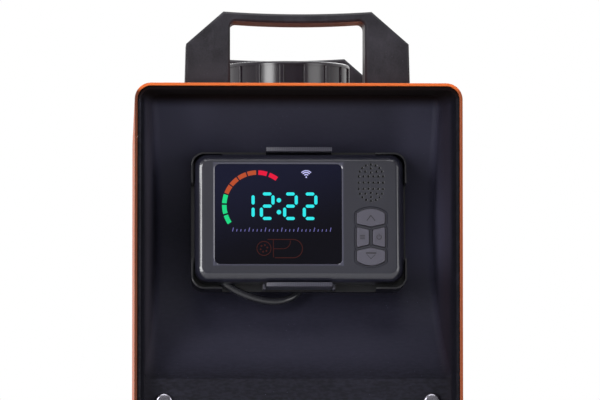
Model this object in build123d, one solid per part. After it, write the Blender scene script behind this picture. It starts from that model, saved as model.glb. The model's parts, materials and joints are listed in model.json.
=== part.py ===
from build123d import *
import math
import os

# A portable diesel air heater in one case: tank, pump, burner unit and controller.
# Millimetres. +Z up, the front faces -Y, the middle of the footprint is the origin.

# ---- driving dimensions ----
# case
case_width = 180.0
case_length = 400.0
case_height = 385.0
sheet = 1.6
shell_radius = 9.0             # outer bend of the shell's two top corners
base_sheet = 1.6
base_flange = 22.0             # height of the base's turned-up sides

# clearances
seat_gap = 0.3                 # between a moulding and the sheet or part that it sits in
hole_clearance = 0.3           # round a screw's shank
pipe_clearance = 1.0           # round a pipe that passes through a wall
running_clearance = 0.05       # round a shaft, pin or plunger
overshoot = 1.0                # a cut runs this far past the faces that it opens
reach_out = 10.0               # shapes that only cut a space reach this far past the case

# feet
foot_height = 30.0
foot_inset_x = 20.0            # their middles inside the case's sides
foot_inset_y = 40.0
foot_radius = 15.0
foot_taper = 3.0
foot_edge = 2.0
foot_screw_radius = 3.0
foot_screw_head = 5.7
foot_screw_head_height = 3.0
foot_recess_radius = 6.6
foot_recess_depth = 12.0
foot_nut_radius = 5.7
foot_nut_height = 2.6
foot_screw_tail = 3.0          # above the base sheet

# large screws: front moulding, rear cover and handles
screw_radius = 2.5
screw_length = 14.0
screw_head_radius = 5.2
screw_head_height = 3.0
face_screw_inset = 16.3        # inside the case's sides
face_screw_drop = 174.9        # below the shell's top
low_screw_height = 22.0        # above the case's bottom edge
drive_share = 0.2              # width of the drive cross, of the head's radius

# small screws: shell to base, and the controller's holder
side_screw_radius = 2.0
side_screw_head = 4.0
side_screw_head_height = 1.8
side_screw_length = 8.0
side_screw_margin = 30.0       # from the case's ends
side_screw_height = 13.2       # above the case's bottom edge

# front moulding
rim_setback = 1.5              # rim behind the shell's front edge
rim_width = 1.6
fascia_wall = 3.0
side_draft = 8.5               # degrees
scoop_top_depth = 44.0
scoop_mouth_lean = 19.3        # degrees from upright, where the curve meets the ceiling
scoop_depth = 64.0
scoop_deepest_drop = 80.0      # below the shell's top
crease_drop = 162.0
crease_slope = 50.0            # degrees from upright
panel_setback = 15.0
scoop_corner = 4.0             # round its deep edges

# handles
handle_half_width = 62.2
handle_shoulder_half = 61.6
handle_top_half = 41.0
handle_shoulder_height = 23.0
handle_height = 41.0
handle_dip = 1.4
handle_bar = 5.0
handle_opening_half = 37.3
handle_opening_radius = 3.3
handle_depth = 30.0
handle_inset = 20.0            # front face behind the shell's edge
handle_edge = 1.2
handle_foot = 16.0             # buttress behind each leg
handle_foot_height = 15.0
handle_foot_step = 1.5         # buttress narrower than its leg on each side
handle_foot_lap = 2.0
handle_foot_radius = 5.0
handle_foot_edge = 2.0
peg_radius = 2.0

# fuel cap
cap_radius = 37.0
cap_top = 25.0                 # above the shell's top
cap_wall = 2.5
cap_gap = 2.0                  # skirt above the shell
cap_ribs = 16
cap_turned = 4.9               # degrees, as it was screwed down
cap_rib_width = 3.0
cap_rib_height = 1.1
cap_rib_radius = 0.6
cap_rim_height = 2.2
cap_rim_radius = 1.4
cap_thread_wall = 3.1
cap_thread_clearance = 0.4
cap_thread_short = 4.0         # hollow ends this far below the neck's mouth
seal_thickness = 2.0

# controller
controller_offset = 1.2        # right of the middle, as fitted
controller_drop = 72.6         # middle of its face below the shell's top
controller_depth = 27.0        # middle of its face behind the shell's front edge
controller_tilt = 5.0          # degrees, leaning back
controller_width = 116.0
controller_height = 71.4
controller_thickness = 16.0
controller_radius = 7.7
controller_edge = 2.6
controller_back_edge = 1.2
controller_wall = 2.0
controller_split = 7.0         # front half's depth
face_inset = 3.9
face_rise = 1.0
face_radius = 5.0
face_edge = 0.9
window_x = -11.6
window_y = 1.8
window_width = 70.4
window_height = 55.9
window_radius = 2.8
window_bevel = 1.2
window_sink = 0.5
window_flange = 1.0
window_ledge = 1.2
window_gap = 0.15
display_width = 68.0
display_height = 50.0
display_thickness = 3.0
display_radius = 1.0
board_thickness = 1.6
board_gap = 0.5
board_post_inset = 8.0
board_post_radius = 2.5
speaker_x = 39.7
speaker_y = 19.3
speaker_pitch = 2.7
speaker_hole = 0.46
speaker_flare = 0.3            # round each hole, at the face
speaker_flare_depth = 0.14
speaker_radius = 9.5

# key pad: heights are from the pad's middle, and the same above and below it
pad_x = 39.55
pad_y = -11.15
pad_gap = 1.1                  # recess round the keys
pad_flare = 35.0               # degrees that its walls lean out
pad_sink = 0.5
key_half_width = 7.85
key_crown = 15.75
key_shoulder = 13.15
key_split = 7.55
key_point = 5.85
side_key_outer = 5.7
side_key_inner = 4.1
side_key_gap = 1.05
key_corner = 0.8
key_edge = 0.35
key_gap = 0.3
key_rise = 0.8
key_travel = 0.6
key_flange = 0.7
key_flange_thickness = 1.0
key_stem_radius = 1.5
switch_height = 2.0
switch_size = 4.0

# holder behind the controller
holder_beside = 1.6            # how far it reaches past the controller on each side
holder_over = 0.8
holder_under = 3.9
holder_back_over = 2.9         # its back plate reaches higher than its corner walls
holder_wall = 0.9
holder_radius = 7.0
holder_floor = 3.0
holder_corner = 17.0           # length of each corner wall
holder_below_face = 1.0
holder_touch = 0.1
lead_notch_gap = 0.4
tab_gap = 0.4                  # below the controller
tab_gap_over = 1.2
tab_width = 36.3
tab_thickness = 2.5
tab_rise = 0.6                 # above the controller's edge
tab_edge = 0.5
nub_width = 1.6
nub_gap = 0.4
nub_proud = 0.6
nub_depth = 6.4
boss_half_width = 24.0
boss_low = -16.0
boss_high = 26.0
boss_screw_x = 14.0
boss_screw_bite = 9.0

# controller lead, its grommet and its plug
lead_diameter = 4.2
lead_hole_gap = 0.1
grommet_wall = 1.8
grommet_length = 7.0
grommet_flange = 1.2
grommet_rim = 1.6
plug_width = 14.0
plug_height = 18.0
plug_depth = 12.0
plug_high = 7.2                # top of the plug above the lead
plug_radius = 1.5

# tank
tank_side_room = 10.0          # between the tank and the case's outer sides
tank_end_room = 100.0          # before and behind it, for the controller's recess and the pump
tank_roof_room = 25.9          # between the tank's top and the shell, round the neck
tank_wall = 2.5
tank_radius = 14.0
neck_radius = 28.0
neck_wall = 3.0
neck_above_shell = 14.0
neck_gap = 1.0
neck_collar = 6.0
neck_collar_height = 4.0
pickup_inset = 38.0            # before the tank's rear
pickup_radius = 5.0
pickup_stem_radius = 3.0
pickup_bore = 1.2
pickup_flange = 12.0
pickup_flange_height = 4.0
pickup_lift = 10.0             # spigot above the tank's top
pickup_foot_gap = 6.0
pickup_spigot = 24.0

# shelf under the tank
shelf_drop = 26.1              # below the front and rear screws that hold it
shelf_sheet = 1.5
shelf_margin = 0.4
shelf_upstand = 36.0
shelf_side = 14.0
stop_half_width = 12.0
stop_height = 24.0
shelf_hole_radius = 6.0
hose_hole_inset = 11.4         # inside the shell's wall
hose_hole_step = 10.6          # behind the pump
harness_hole_x = 30.0
harness_hole_room = 22.0       # before the tank

# fuel line
hose_radius = 2.75
spigot_radius = 1.5
nipple = 9.0
pump_x = 38.0
pump_inset = 52.0              # pump and filter before the case's rear edge
pump_radius = 14.0
pump_length = 66.0
pump_edge = 2.0
pump_lift = 38.0               # body's bottom above the shelf
pump_chamber_low = 6.0         # chamber's floor above the body's bottom
pump_chamber_high = 8.0        # its ceiling below the body's top
pump_plug_half_width = 9.0
pump_plug_reach = 7.0
pump_plug_low = 14.0
pump_plug_high = 30.0
plunger_radius = 6.0
plunger_bore = 1.2
plunger_length = 20.0
plunger_lift = 8.0             # above the chamber's floor, where the spring holds it
spring_wire = 0.5              # radius
spring_radius = 4.2
spring_turns = 6
pump_holder_wall = 5.0
pump_holder_low = 34.0         # above the body's bottom
pump_holder_height = 20.0
pump_holder_half_width = 8.0
bracket_reach = 10.0           # behind the pump
bracket_half_width = 12.0
bracket_foot = 12.0
bracket_height = 96.0          # above the shelf
bracket_sheet = 1.5
filter_x = -42.0
filter_radius = 9.0
filter_edge = 3.0
filter_length = 38.0
filter_lift = 70.0
harness_radius = 3.0
power_lead_radius = 3.0

# heater unit, lying along Y
unit_width = 114.0
unit_height = 116.0
unit_radius = 26.0
unit_wall = 2.5
unit_front_room = 62.0         # behind the front panel, for the duct
unit_rear_room = 15.0
port_gasket = 3.0              # thickness under the unit
gasket_half_width = 34.0
gasket_margin = 26.0           # past the two pipes
gasket_radius = 8.0
outlet_radius = 37.5
spigot_length = 22.0
inlet_radius = 46.0
fan_ring_wall = 2.0
fan_ring_lead = 3.0            # ring starts this far before the fan
exchanger_radius = 32.0
exchanger_nose = 12.0
exchanger_wall = 4.0
exchanger_end_wall = 6.0
exchanger_front_room = 28.0    # inside the unit's front
exchanger_rear_room = 128.0    # for the burner's flange, the blower, the motor and the fan
fin_count = 24
fin_height = 9.0
fin_thickness = 2.0
fin_front_gap = 14.0           # bare length before and behind the fins
fin_rear_gap = 2.0
carrier_thickness = 4.0        # ribs in the case that carry the exchanger and the motor
carrier_half_height = 10.0
carrier_inset = 20.0
pad_half_width = 18.0          # square ports over the two pipes
sensor_step = 42.0             # behind the exchanger's front
sensor_seat = 4.0              # above the exchanger's round wall
sensor_seat_half = 9.0
sensor_seat_depth = 6.0
sensor_radius = 6.0
sensor_height = 7.0
sensor_edge = 1.5
burner_radius = 24.0
burner_wall = 1.5
burner_flange_thickness = 10.0
burner_flange_step = 2.0       # larger than the exchanger
burner_floor = 3.0
burner_length = 80.0
burner_hole_radius = 2.0
burner_hole_rings = 3
burner_holes = 8               # in each ring
burner_hole_start = 20.0
burner_hole_pitch = 16.0
burner_throat = 8.0
glow_radius = 3.0
glow_depth = 14.0              # its tip above the unit's axis
glow_pocket = 10.0
glow_collar_radius = 5.5
glow_collar_height = 5.0
glow_tail = 6.0
needle_x = 30.0
needle_above_unit = 8.0
needle_clearance = 1.7
blower_radius = 42.0
blower_length = 36.0
blower_wall = 3.0
wheel_radius = 34.0
wheel_hub = 8.0
wheel_plate = 2.0
wheel_thickness = 14.0
wheel_gap = 6.0
wheel_vanes = 12
vane_length = 24.0
vane_thickness = 1.5
motor_radius = 22.0
motor_length = 44.0
motor_edge = 2.0
motor_carrier_inset = 12.0
motor_carrier_half_height = 12.0
shaft_radius = 2.5
fan_radius = 42.0
fan_length = 18.0
fan_gap = 3.0                  # behind the motor
fan_hub_radius = 15.0
fan_hub_edge = 3.0
fan_blades = 9
fan_pitch_angle = 50.0         # degrees
fan_blade_thickness = 1.6
exhaust_radius = 12.0
intake_radius = 12.5
pipe_wall = 1.5
pipe_shoulder = 0.5            # inside the case a pipe is wider by this, as a stop for its hose
pipe_below_base = 24.0
pipe_in_unit = 6.0
exhaust_inset = 22.0           # before the exchanger's rear
intake_step = 18.0             # behind the blower's front

# control unit over the motor
control_half_width = 30.0
control_length = 40.0
control_height = 18.0
control_radius = 3.0
control_gap = 2.0              # behind the motor's front
control_sockets = 3
control_socket_pitch = 20.0
control_socket_width = 12.0
control_socket_depth = 3.0
control_socket_low = 14.0      # below its top
control_socket_high = 6.0
gland_depth = 6.0
harness_gland_x = -18.0
harness_gland_step = 22.0      # behind the motor's front
power_gland_x = 20.0
power_gland_step = 24.0

# vent in the front panel
vent_flange_radius = 52.0
vent_flange_thickness = 4.0
vent_flange_edge = 1.6
vent_bore = 42.0
vent_collar_wall = 2.6
vent_stop = 1.5                # lip that the barrel stops on
barrel_wall = 3.0
barrel_gap = 0.3
barrel_proud = 3.5
barrel_lip = 2.5
barrel_edge = 1.2
collar_length = 8.0            # behind the front panel
collar_stop = 2.0
blade_count = 4
blade_pitch = 16.0
blade_depth = 13.0
blade_thickness = 1.8
blade_edge_share = 0.4
blade_pin_radius = 1.5
blade_pin_share = 0.7          # of the barrel's wall that a pin enters
blade_tilt = 45.0
blade_end_gap = 0.8
duct_wall = 1.5
duct_gap = 0.1
duct_lap = 14.0

# rear cover
rear_setback = 4.0
rear_wall = 3.0
rear_skirt = 12.0
rear_skirt_wall = 2.0
rear_skirt_gap = 10.0          # above the shelf's upstand
rear_skirt_top = 20.0
grille_slot = 5.0
grille_pitch = 10.0
grille_mullion = 2.5           # half-width of the bar down the middle
grille_shortest = 10.0
grille_edge_share = 0.45
inlet_socket_inset = 34.0      # inside the case's side
inlet_socket_height = 140.0    # above the case's bottom edge
socket_radius = 11.0
socket_length = 22.0
socket_flange = 3.0
socket_flange_thickness = 1.6
socket_edge = 0.8
socket_wall = 3.0
socket_depth = 12.0
contact_x = 3.4
contact_radius = 1.5
contact_length = 9.0
contact_root = 1.0

# ---- places worked out from them ----
half_width = case_width / 2
front_y = -case_length / 2
rear_y = case_length / 2
bottom_z = foot_height
top_z = bottom_z + case_height
inner_half = half_width - sheet
inner_top = top_z - sheet
inner_bend = shell_radius - sheet
moulding_half = inner_half - seat_gap
moulding_top = inner_top - seat_gap
moulding_bend = inner_bend - seat_gap
base_top = bottom_z + base_sheet
moulding_low = base_top + seat_gap
rim_y = front_y + rim_setback
panel_y = front_y + panel_setback
panel_back = panel_y + fascia_wall
crease_z = top_z - crease_drop
deepest_y = front_y + scoop_depth
deepest_z = top_z - scoop_deepest_drop
rear_face = rear_y - rear_setback
rear_inside = rear_face - rear_wall
face_screw_x = half_width - face_screw_inset
face_screw_z = top_z - face_screw_drop
foot_x = half_width - foot_inset_x
foot_y = case_length / 2 - foot_inset_y
low_screw_z = bottom_z + low_screw_height
side_screw_z = bottom_z + side_screw_height
handle_leg_x = (handle_half_width + handle_opening_half) / 2
handle_middles = {"handle_front": front_y + handle_inset + handle_depth / 2,
                  "handle_rear": rear_y - handle_inset - handle_depth / 2}
neck_top = top_z + neck_above_shell
cap_low = top_z + cap_gap
cap_high = top_z + cap_top
cap_body_radius = cap_radius - cap_rib_height
shelf_z = face_screw_z - shelf_drop
shelf_top = shelf_z + shelf_sheet
shelf_front = panel_back
shelf_rear = rear_inside - seat_gap
tank_width = case_width - 2 * tank_side_room
tank_length = case_length - 2 * tank_end_room
tank_base = shelf_top
tank_top = inner_top - tank_roof_room
pump_y = rear_y - pump_inset
filter_y = pump_y
hose_hole = (inner_half - hose_hole_inset, pump_y + hose_hole_step)
harness_hole = (harness_hole_x, -tank_length / 2 - harness_hole_room)
pump_bottom = shelf_top + pump_lift
pump_top = pump_bottom + pump_length
chamber_low = pump_bottom + pump_chamber_low
chamber_high = pump_top - pump_chamber_high
plunger_low = chamber_low + plunger_lift
plunger_high = plunger_low + plunger_length
bracket_y = pump_y + pump_radius + bracket_reach
filter_bottom = shelf_top + filter_lift
filter_top = filter_bottom + filter_length
pickup_x = filter_x
pickup_y = tank_length / 2 - pickup_inset
unit_bottom = base_top + port_gasket
unit_z = unit_bottom + unit_height / 2
unit_top = unit_bottom + unit_height
unit_floor = unit_bottom + unit_wall + seat_gap
unit_ceiling = unit_top - unit_wall
unit_front = panel_back + unit_front_room
unit_rear = rear_inside - unit_rear_room
exchanger_front = unit_front + exchanger_front_room
exchanger_rear = unit_rear - exchanger_rear_room
burner_rear = exchanger_rear + burner_flange_thickness
exhaust_y = exchanger_rear - exhaust_inset
intake_y = burner_rear + intake_step
sensor_y = exchanger_front + sensor_step
needle_y = exchanger_rear + burner_flange_thickness / 2
needle_top = unit_top + needle_above_unit
motor_front = burner_rear + blower_length
motor_rear = motor_front + motor_length
fan_front = motor_rear + fan_gap
fan_rear = fan_front + fan_length
wheel_front = burner_rear + blower_wall + wheel_gap
wheel_rear = wheel_front + wheel_thickness
seat_z = unit_z + exchanger_radius + sensor_seat
vent_face = panel_y - vent_flange_thickness
collar_end = panel_back + collar_length
collar_radius = vent_bore + vent_collar_wall
barrel_front = vent_face - barrel_proud
barrel_rear = collar_end - collar_stop - barrel_gap
barrel_radius = vent_bore - barrel_gap
barrel_bore = barrel_radius - barrel_wall
blade_y = (barrel_front + barrel_rear) / 2
grille_radius = inlet_radius + fan_ring_wall
inlet_socket_x = half_width - inlet_socket_inset
socket_z = bottom_z + inlet_socket_height
pipe_ports = [(exhaust_y, exhaust_radius + pipe_shoulder), (intake_y, intake_radius + pipe_shoulder)]
grommet_radius = lead_diameter / 2 + grommet_wall

# the controller's own frame: its face is at height 0 and looks along its +Z
controller_lean = math.radians(controller_tilt)
controller_at = Vector(controller_offset, front_y + controller_depth, top_z - controller_drop)
controller_plane = Plane(origin=controller_at,
                         x_dir=(1, 0, 0), z_dir=(0, -math.cos(controller_lean), math.sin(controller_lean)))
face_back = -controller_wall
window_back = face_back - window_flange
board_top = window_back - display_thickness
board_bottom = board_top - board_thickness
key_names = ("key_up", "key_down", "key_left", "key_right")

# ---- routes: points chosen by hand ----
def led(points, start, end):
    """The points moved in proportion, so that the first one is at start and the last one at end."""
    first, last = Vector(*start) - Vector(*points[0]), Vector(*end) - Vector(*points[-1])
    shares = [index / (len(points) - 1) for index in range(len(points))]
    return [tuple(Vector(*point) + first * (1 - share) + last * share) for point, share in zip(points, shares)]


# from the controller's middle
lead_steps = [(-46.2, 9.4, -32.8), (-37.7, 9.8, -39.0), (-27.2, 11.0, -43.8), (-15.7, 13.0, -46.6),
              (-5.2, 16.0, -45.2), (1.8, 21.0, -40.0), (5.2, 26.2, -32.2), (5.8, 31.5, -25.4), (5.8, 39.2, -25.4)]
lead_route = [tuple(controller_at + Vector(*step)) for step in lead_steps]
grommet_at = Vector(*lead_route[-1])
plug_near = grommet_at.Y + seat_gap
plug_top = grommet_at.Z + plug_high

tank_hose_route = led([(-42.0, 80.0, 397.5), (-42.3, 104.0, 397.6), (-43.5, 126.0, 391.0), (-43.6, 141.0, 374.0),
                       (-42.4, 147.2, 352.0), (-42.0, 148.0, 324.5)],
                      (pickup_x, pickup_y + pickup_spigot - nipple + 3, tank_top + pickup_lift),
                      (filter_x, filter_y, filter_top + 1))
filter_hose_route = led([(-42.0, 148.0, 284.5), (-42.2, 148.6, 262.0), (-37.0, 149.6, 243.0), (-22.0, 150.4, 229.0),
                         (-4.0, 150.6, 221.8), (13.0, 149.8, 221.4), (28.0, 148.8, 226.6), (38.0, 148.0, 238.0)],
                        (filter_x, filter_y, filter_bottom - 1), (pump_x, pump_y, pump_bottom - 15.5))
filter_hose_route.append((pump_x, pump_y, pump_bottom - 1))
through_shelf = (*hose_hole, shelf_z + 1)
pump_hose_route = led([(38.0, 148.0, 320.5), (38.0, 148.0, 338.0), (49.0, 149.6, 350.6), (65.6, 152.0, 351.6),
                       (78.0, 154.6, 340.6), (79.8, 157.0, 303.0), (79.0, 159.0, 258.0), (77.0, 158.6, 215.0)],
                      (pump_x, pump_y, pump_top + 1), through_shelf)
pump_hose_route += led([(77.0, 158.6, 215.0), (73.6, 149.0, 190.0), (65.0, 125.0, 178.6), (54.0, 100.0, 181.0),
                        (42.6, 78.6, 184.6), (33.6, 62.6, 181.6), (30.0, 55.0, 168.4)],
                       through_shelf, (needle_x, needle_y, needle_top + 9.8))[1:]
pump_hose_route.append((needle_x, needle_y, needle_top - 6))

harness_gland = (harness_gland_x, motor_front + harness_gland_step)
harness_through = (harness_hole[0], harness_hole[1] + 0.4, shelf_z + 0.6)
harness_route = led([(7.0, -127.8, 306.2), (7.0, -127.8, 284.0), (13.0, -126.0, 259.0), (22.0, -123.8, 236.0),
                     (30.0, -121.6, 214.6)],
                    (grommet_at.X, plug_near + plug_depth / 2 - 0.3, plug_top - plug_height), harness_through)
harness_route += led([(30.0, -121.6, 214.6), (31.0, -114.0, 193.0), (26.0, -96.0, 176.0), (16.0, -62.0, 166.0),
                      (5.0, -12.0, 164.0), (-4.0, 38.0, 170.0), (-11.6, 74.0, 181.0), (-15.0, 92.0, 184.6),
                      (-17.4, 107.6, 180.6), (-18.0, 116.8, 168.0), (-18.0, 118.0, 155.0)],
                     harness_through, (*harness_gland, unit_top + 4.4))[1:]
harness_route.append((*harness_gland, unit_top - 5))

power_gland = (power_gland_x, motor_front + power_gland_step)
power_route = led([(56.0, 174.0, 170.0), (56.0, 163.0, 170.0), (53.0, 152.0, 176.0), (43.0, 142.0, 184.0),
                   (30.0, 130.0, 184.4), (22.0, 122.6, 174.4), (20.0, 120.0, 159.0)],
                  (inlet_socket_x, rear_face - socket_length, socket_z), (*power_gland, unit_top + 8.4))
power_route.append((*power_gland, unit_top - 5))
glands = [(*harness_gland, harness_radius), (*power_gland, power_lead_radius)]

os.makedirs("parts", exist_ok=True)


# ---- helpers ----
def block(x, y, z):
    """A box between three pairs of limits, each in any order."""
    middle = [(one + other) / 2 for one, other in (x, y, z)]
    size = [abs(one - other) for one, other in (x, y, z)]
    return Pos(*middle) * Box(*size)


def bar(start, end, radius):
    """A round bar from one point to another."""
    start, end = Vector(*start), Vector(*end)
    run = end - start
    lowest = (Align.CENTER, Align.CENTER, Align.MIN)
    return Plane(origin=start, z_dir=run) * Cylinder(radius, run.length, align=lowest)


def post(x, y, low, high, radius):
    """An upright round bar."""
    return bar((x, y, low), (x, y, high), radius)


def rod(x, z, front, rear, radius):
    """A round bar lying along Y."""
    return bar((x, front, z), (x, rear, z), radius)


def cross_bar(y, z, left, right, radius):
    """A round bar lying along X."""
    return bar((left, y, z), (right, y, z), radius)


def on_axis(front, rear, radius):
    """A round bar on the heater unit's axis."""
    return rod(0, unit_z, front, rear, radius)


def ring(front, rear, outer, inner):
    """A ring on the heater unit's axis."""
    return on_axis(front, rear, outer) - on_axis(front, rear, inner)


def rounded(shape, axis, radius):
    """The shape with its edges along one axis rounded."""
    return fillet(shape.edges().filter_by(axis), radius)


def top_rounded(shape, radius):
    """The shape with its two upper edges along Y rounded."""
    return fillet(shape.edges().filter_by(Axis.Y).group_by(Axis.Z)[-1], radius)


def both_sides(*places):
    """The same places on the left and on the right."""
    return [(side * place[0], *place[1:]) for side in (-1, 1) for place in places]


def save(shape, name):
    """Writes one piece."""
    export_step(shape, "parts/" + name + ".step")


def group(shapes):
    """Separate solids that share one name."""
    return Compound(children=list(shapes))


def pan_screw(head_at, direction, radius, length, head_radius, head_height):
    """A pan-head screw whose head's underside is at head_at, driven along direction."""
    lowest = (Align.CENTER, Align.CENTER, Align.MIN)
    head = Pos(0, 0, -head_height) * Cylinder(head_radius, head_height, align=lowest)
    head = fillet(head.edges().group_by(Axis.Z)[0], head_height * 0.7)
    width = head_radius * drive_share
    drive = Box(head_radius, width, head_height) + Box(width, head_radius, head_height)
    screw = head - Pos(0, 0, -head_height) * drive + Cylinder(radius, length, align=lowest)
    return Plane(origin=Vector(*head_at), z_dir=Vector(*direction)) * screw


def large_screw(head_at, direction):
    return pan_screw(head_at, direction, screw_radius - running_clearance, screw_length, screw_head_radius,
                     screw_head_height)


def small_screw(head_at, direction):
    return pan_screw(head_at, direction, side_screw_radius - running_clearance, side_screw_length,
                     side_screw_head, side_screw_head_height)


def cord(points, radius, label):
    """A tube of straight runs joined by tangent arcs, each as large as its two runs allow."""
    route = [Vector(*point) for point in points]
    radii = []
    for before, here, after in zip(route, route[1:], route[2:]):
        turn = math.radians((here - before).get_angle(after - here))
        shorter = min((here - before).length, (after - here).length)
        radii.append(0.45 * shorter / math.tan(turn / 2))
    path = FilletPolyline(*route, radius=radii)
    tube = sweep(Plane(origin=path @ 0, z_dir=path % 0) * Circle(radius), path=path)
    share = tube.volume / (math.pi * radius ** 2 * path.length)
    print(label, "length", round(path.length, 1), "volume share", round(share, 4),
          "radii", [round(value, 1) for value in radii])
    return tube


# ---- case ----
def side_screw_places():
    reach = case_length / 2 - side_screw_margin
    return (-reach, 0.0, reach)


def handle_screw_places():
    """The screws under the handles, in the buttress behind each leg."""
    step = (handle_depth + handle_foot) / 2
    places = []
    for middle in handle_middles.values():
        inward = -math.copysign(step, middle)
        places += both_sides((handle_leg_x, middle + inward))
    return places


def face_screw_places():
    return both_sides((face_screw_x, face_screw_z), (face_screw_x, low_screw_z))


def make_shell():
    outer = block((-half_width, half_width), (front_y, rear_y), (bottom_z, top_z))
    inner = block((-inner_half, inner_half), (front_y, rear_y), (bottom_z, inner_top))
    shell = top_rounded(outer, shell_radius) - top_rounded(inner, inner_bend)
    low, high = inner_top - overshoot, top_z + overshoot
    shell -= post(0, 0, low, high, neck_radius + neck_gap)
    for x, y in handle_screw_places():
        shell -= post(x, y, low, high, screw_radius + hole_clearance)
    for middle in handle_middles.values():
        for x, y in both_sides((handle_leg_x, middle)):
            shell -= post(x, y, low, high, peg_radius + hole_clearance)
    for y in side_screw_places():
        shell -= cross_bar(y, side_screw_z, -half_width - overshoot, half_width + overshoot,
                           side_screw_radius + hole_clearance)
    return shell


def make_base():
    """The floor, its turned-up sides, and four tabs for the front and rear screws."""
    front, rear = panel_back + seat_gap, rear_inside - seat_gap
    base = block((-inner_half, inner_half), (front, rear), (bottom_z, base_top))
    for side in (-1, 1):
        edge = side * inner_half
        base += block((edge, edge - side * base_sheet), (front, rear), (base_top, bottom_z + base_flange))
    for y in side_screw_places():
        base -= cross_bar(y, side_screw_z, -half_width, half_width, side_screw_radius)
    tab_half = 2 * screw_head_radius
    for y, inner in ((front, front + base_sheet), (rear, rear - base_sheet)):
        for x, z in both_sides((face_screw_x, low_screw_z)):
            base += block((x - tab_half, x + tab_half), (y, inner), (base_top, z + tab_half))
    for x, z in both_sides((face_screw_x, low_screw_z)):
        base -= rod(x, z, front - overshoot, rear + overshoot, screw_radius)
    low, high = bottom_z - overshoot, base_top + overshoot
    for x, y in both_sides((foot_x, -foot_y), (foot_x, foot_y)):
        base -= post(x, y, low, high, foot_screw_radius + hole_clearance)
    for y, radius in pipe_ports:
        base -= post(0, y, low, high, radius + pipe_clearance)
    return base


def make_foot(x, y):
    lowest = (Align.CENTER, Align.CENTER, Align.MIN)
    foot = Pos(x, y, 0) * Cone(foot_radius - foot_taper, foot_radius, foot_height, align=lowest)
    foot = fillet(foot.edges().group_by(Axis.Z)[0], foot_edge)
    foot -= post(x, y, -overshoot, foot_recess_depth, foot_recess_radius)
    return foot - post(x, y, 0, foot_height + overshoot, foot_screw_radius + hole_clearance)


def make_foot_screw(x, y):
    """A screw up through the foot, with its nut on the base."""
    length = base_top + foot_screw_tail - foot_recess_depth
    screw = pan_screw((x, y, foot_recess_depth), (0, 0, 1), foot_screw_radius, length, foot_screw_head,
                      foot_screw_head_height)
    nut = Plane.XY.offset(base_top) * Pos(x, y) * RegularPolygon(foot_nut_radius, 6)
    return screw + extrude(nut, foot_nut_height)


def handle_outline():
    """The handle from the front: sloping shoulders, and a bar that dips a little in the middle."""
    under = handle_height - handle_bar
    with BuildSketch(Plane.XZ) as outline:
        with BuildLine():
            edge = Polyline((-handle_top_half, handle_height), (-handle_shoulder_half, handle_shoulder_height),
                            (-handle_half_width, 0), (handle_half_width, 0),
                            (handle_shoulder_half, handle_shoulder_height), (handle_top_half, handle_height))
            ThreePointArc(edge @ 1, (0, handle_height - handle_dip), edge @ 0)
        make_face()
        with BuildLine(mode=Mode.PRIVATE) as gap:
            sides = Polyline((handle_opening_half, under), (handle_opening_half, -overshoot),
                             (-handle_opening_half, -overshoot), (-handle_opening_half, under))
            ThreePointArc(sides @ 1, (0, under - handle_dip), sides @ 0)
        add(make_face(gap.edges(), mode=Mode.PRIVATE), mode=Mode.SUBTRACT)
    return outline.sketch


def make_handle(middle):
    """An arched handle on two legs, each with a buttress that takes a screw from below."""
    handle = extrude(handle_outline(), handle_depth / 2, both=True)
    corners = [edge for edge in handle.edges().filter_by(Axis.Y)
               if abs(abs(edge.center().X) - handle_opening_half) < 0.1 and edge.center().Z > overshoot]
    handle = fillet(corners, handle_opening_radius)
    rim = [edge for face in handle.faces().filter_by(Axis.Y) for edge in face.edges()
           if edge.center().Z > 0.1]
    handle = Pos(0, middle, top_z) * chamfer(rim, handle_edge)
    inward = -math.copysign(1, middle)
    innermost = -1 if inward > 0 else 0
    half = handle_half_width - handle_leg_x - handle_foot_step
    near = middle + inward * (handle_depth / 2 - handle_foot_lap)
    far = middle + inward * (handle_depth / 2 + handle_foot)
    for x in (-handle_leg_x, handle_leg_x):
        foot = block((x - half, x + half), (near, far), (top_z, top_z + handle_foot_height))
        back_edge = foot.edges().filter_by(Axis.X).group_by(Axis.Z)[-1].sort_by(Axis.Y)[innermost]
        foot = chamfer(back_edge, handle_foot_edge)
        foot = fillet(foot.edges().filter_by(Axis.Z).group_by(Axis.Y)[innermost], handle_foot_radius)
        handle += foot + post(x, middle, inner_top, top_z + overshoot, peg_radius)
    for x, y in handle_screw_places():
        handle -= post(x, y, top_z - overshoot, inner_top + screw_length + hole_clearance, screw_radius)
    return handle


# ---- front moulding ----
def scoop_outline(back, grow):
    """The side view of the space in the front moulding, moved back and grown by the wall."""
    far = front_y - reach_out
    top = moulding_top - rim_width + grow
    low = moulding_low + fascia_wall - grow
    slope = math.radians(crease_slope)
    crease = (panel_y + back, crease_z - grow * math.tan(slope / 2))
    deepest = (deepest_y + back, deepest_z)
    mouth = (front_y + scoop_top_depth + back, top)
    lean = math.tan(math.radians(scoop_mouth_lean))
    with BuildSketch(Plane.YZ) as side:
        with BuildLine():
            curve = Spline(crease, deepest, mouth,
                           tangents=((math.sin(slope), math.cos(slope)), (0, 1), (-lean, 1)))
            Polyline(curve @ 1, (far, top), (far, low), (panel_y + back, low), curve @ 0)
        make_face()
    return extrude(side.sketch, half_width + reach_out, both=True)


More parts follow.
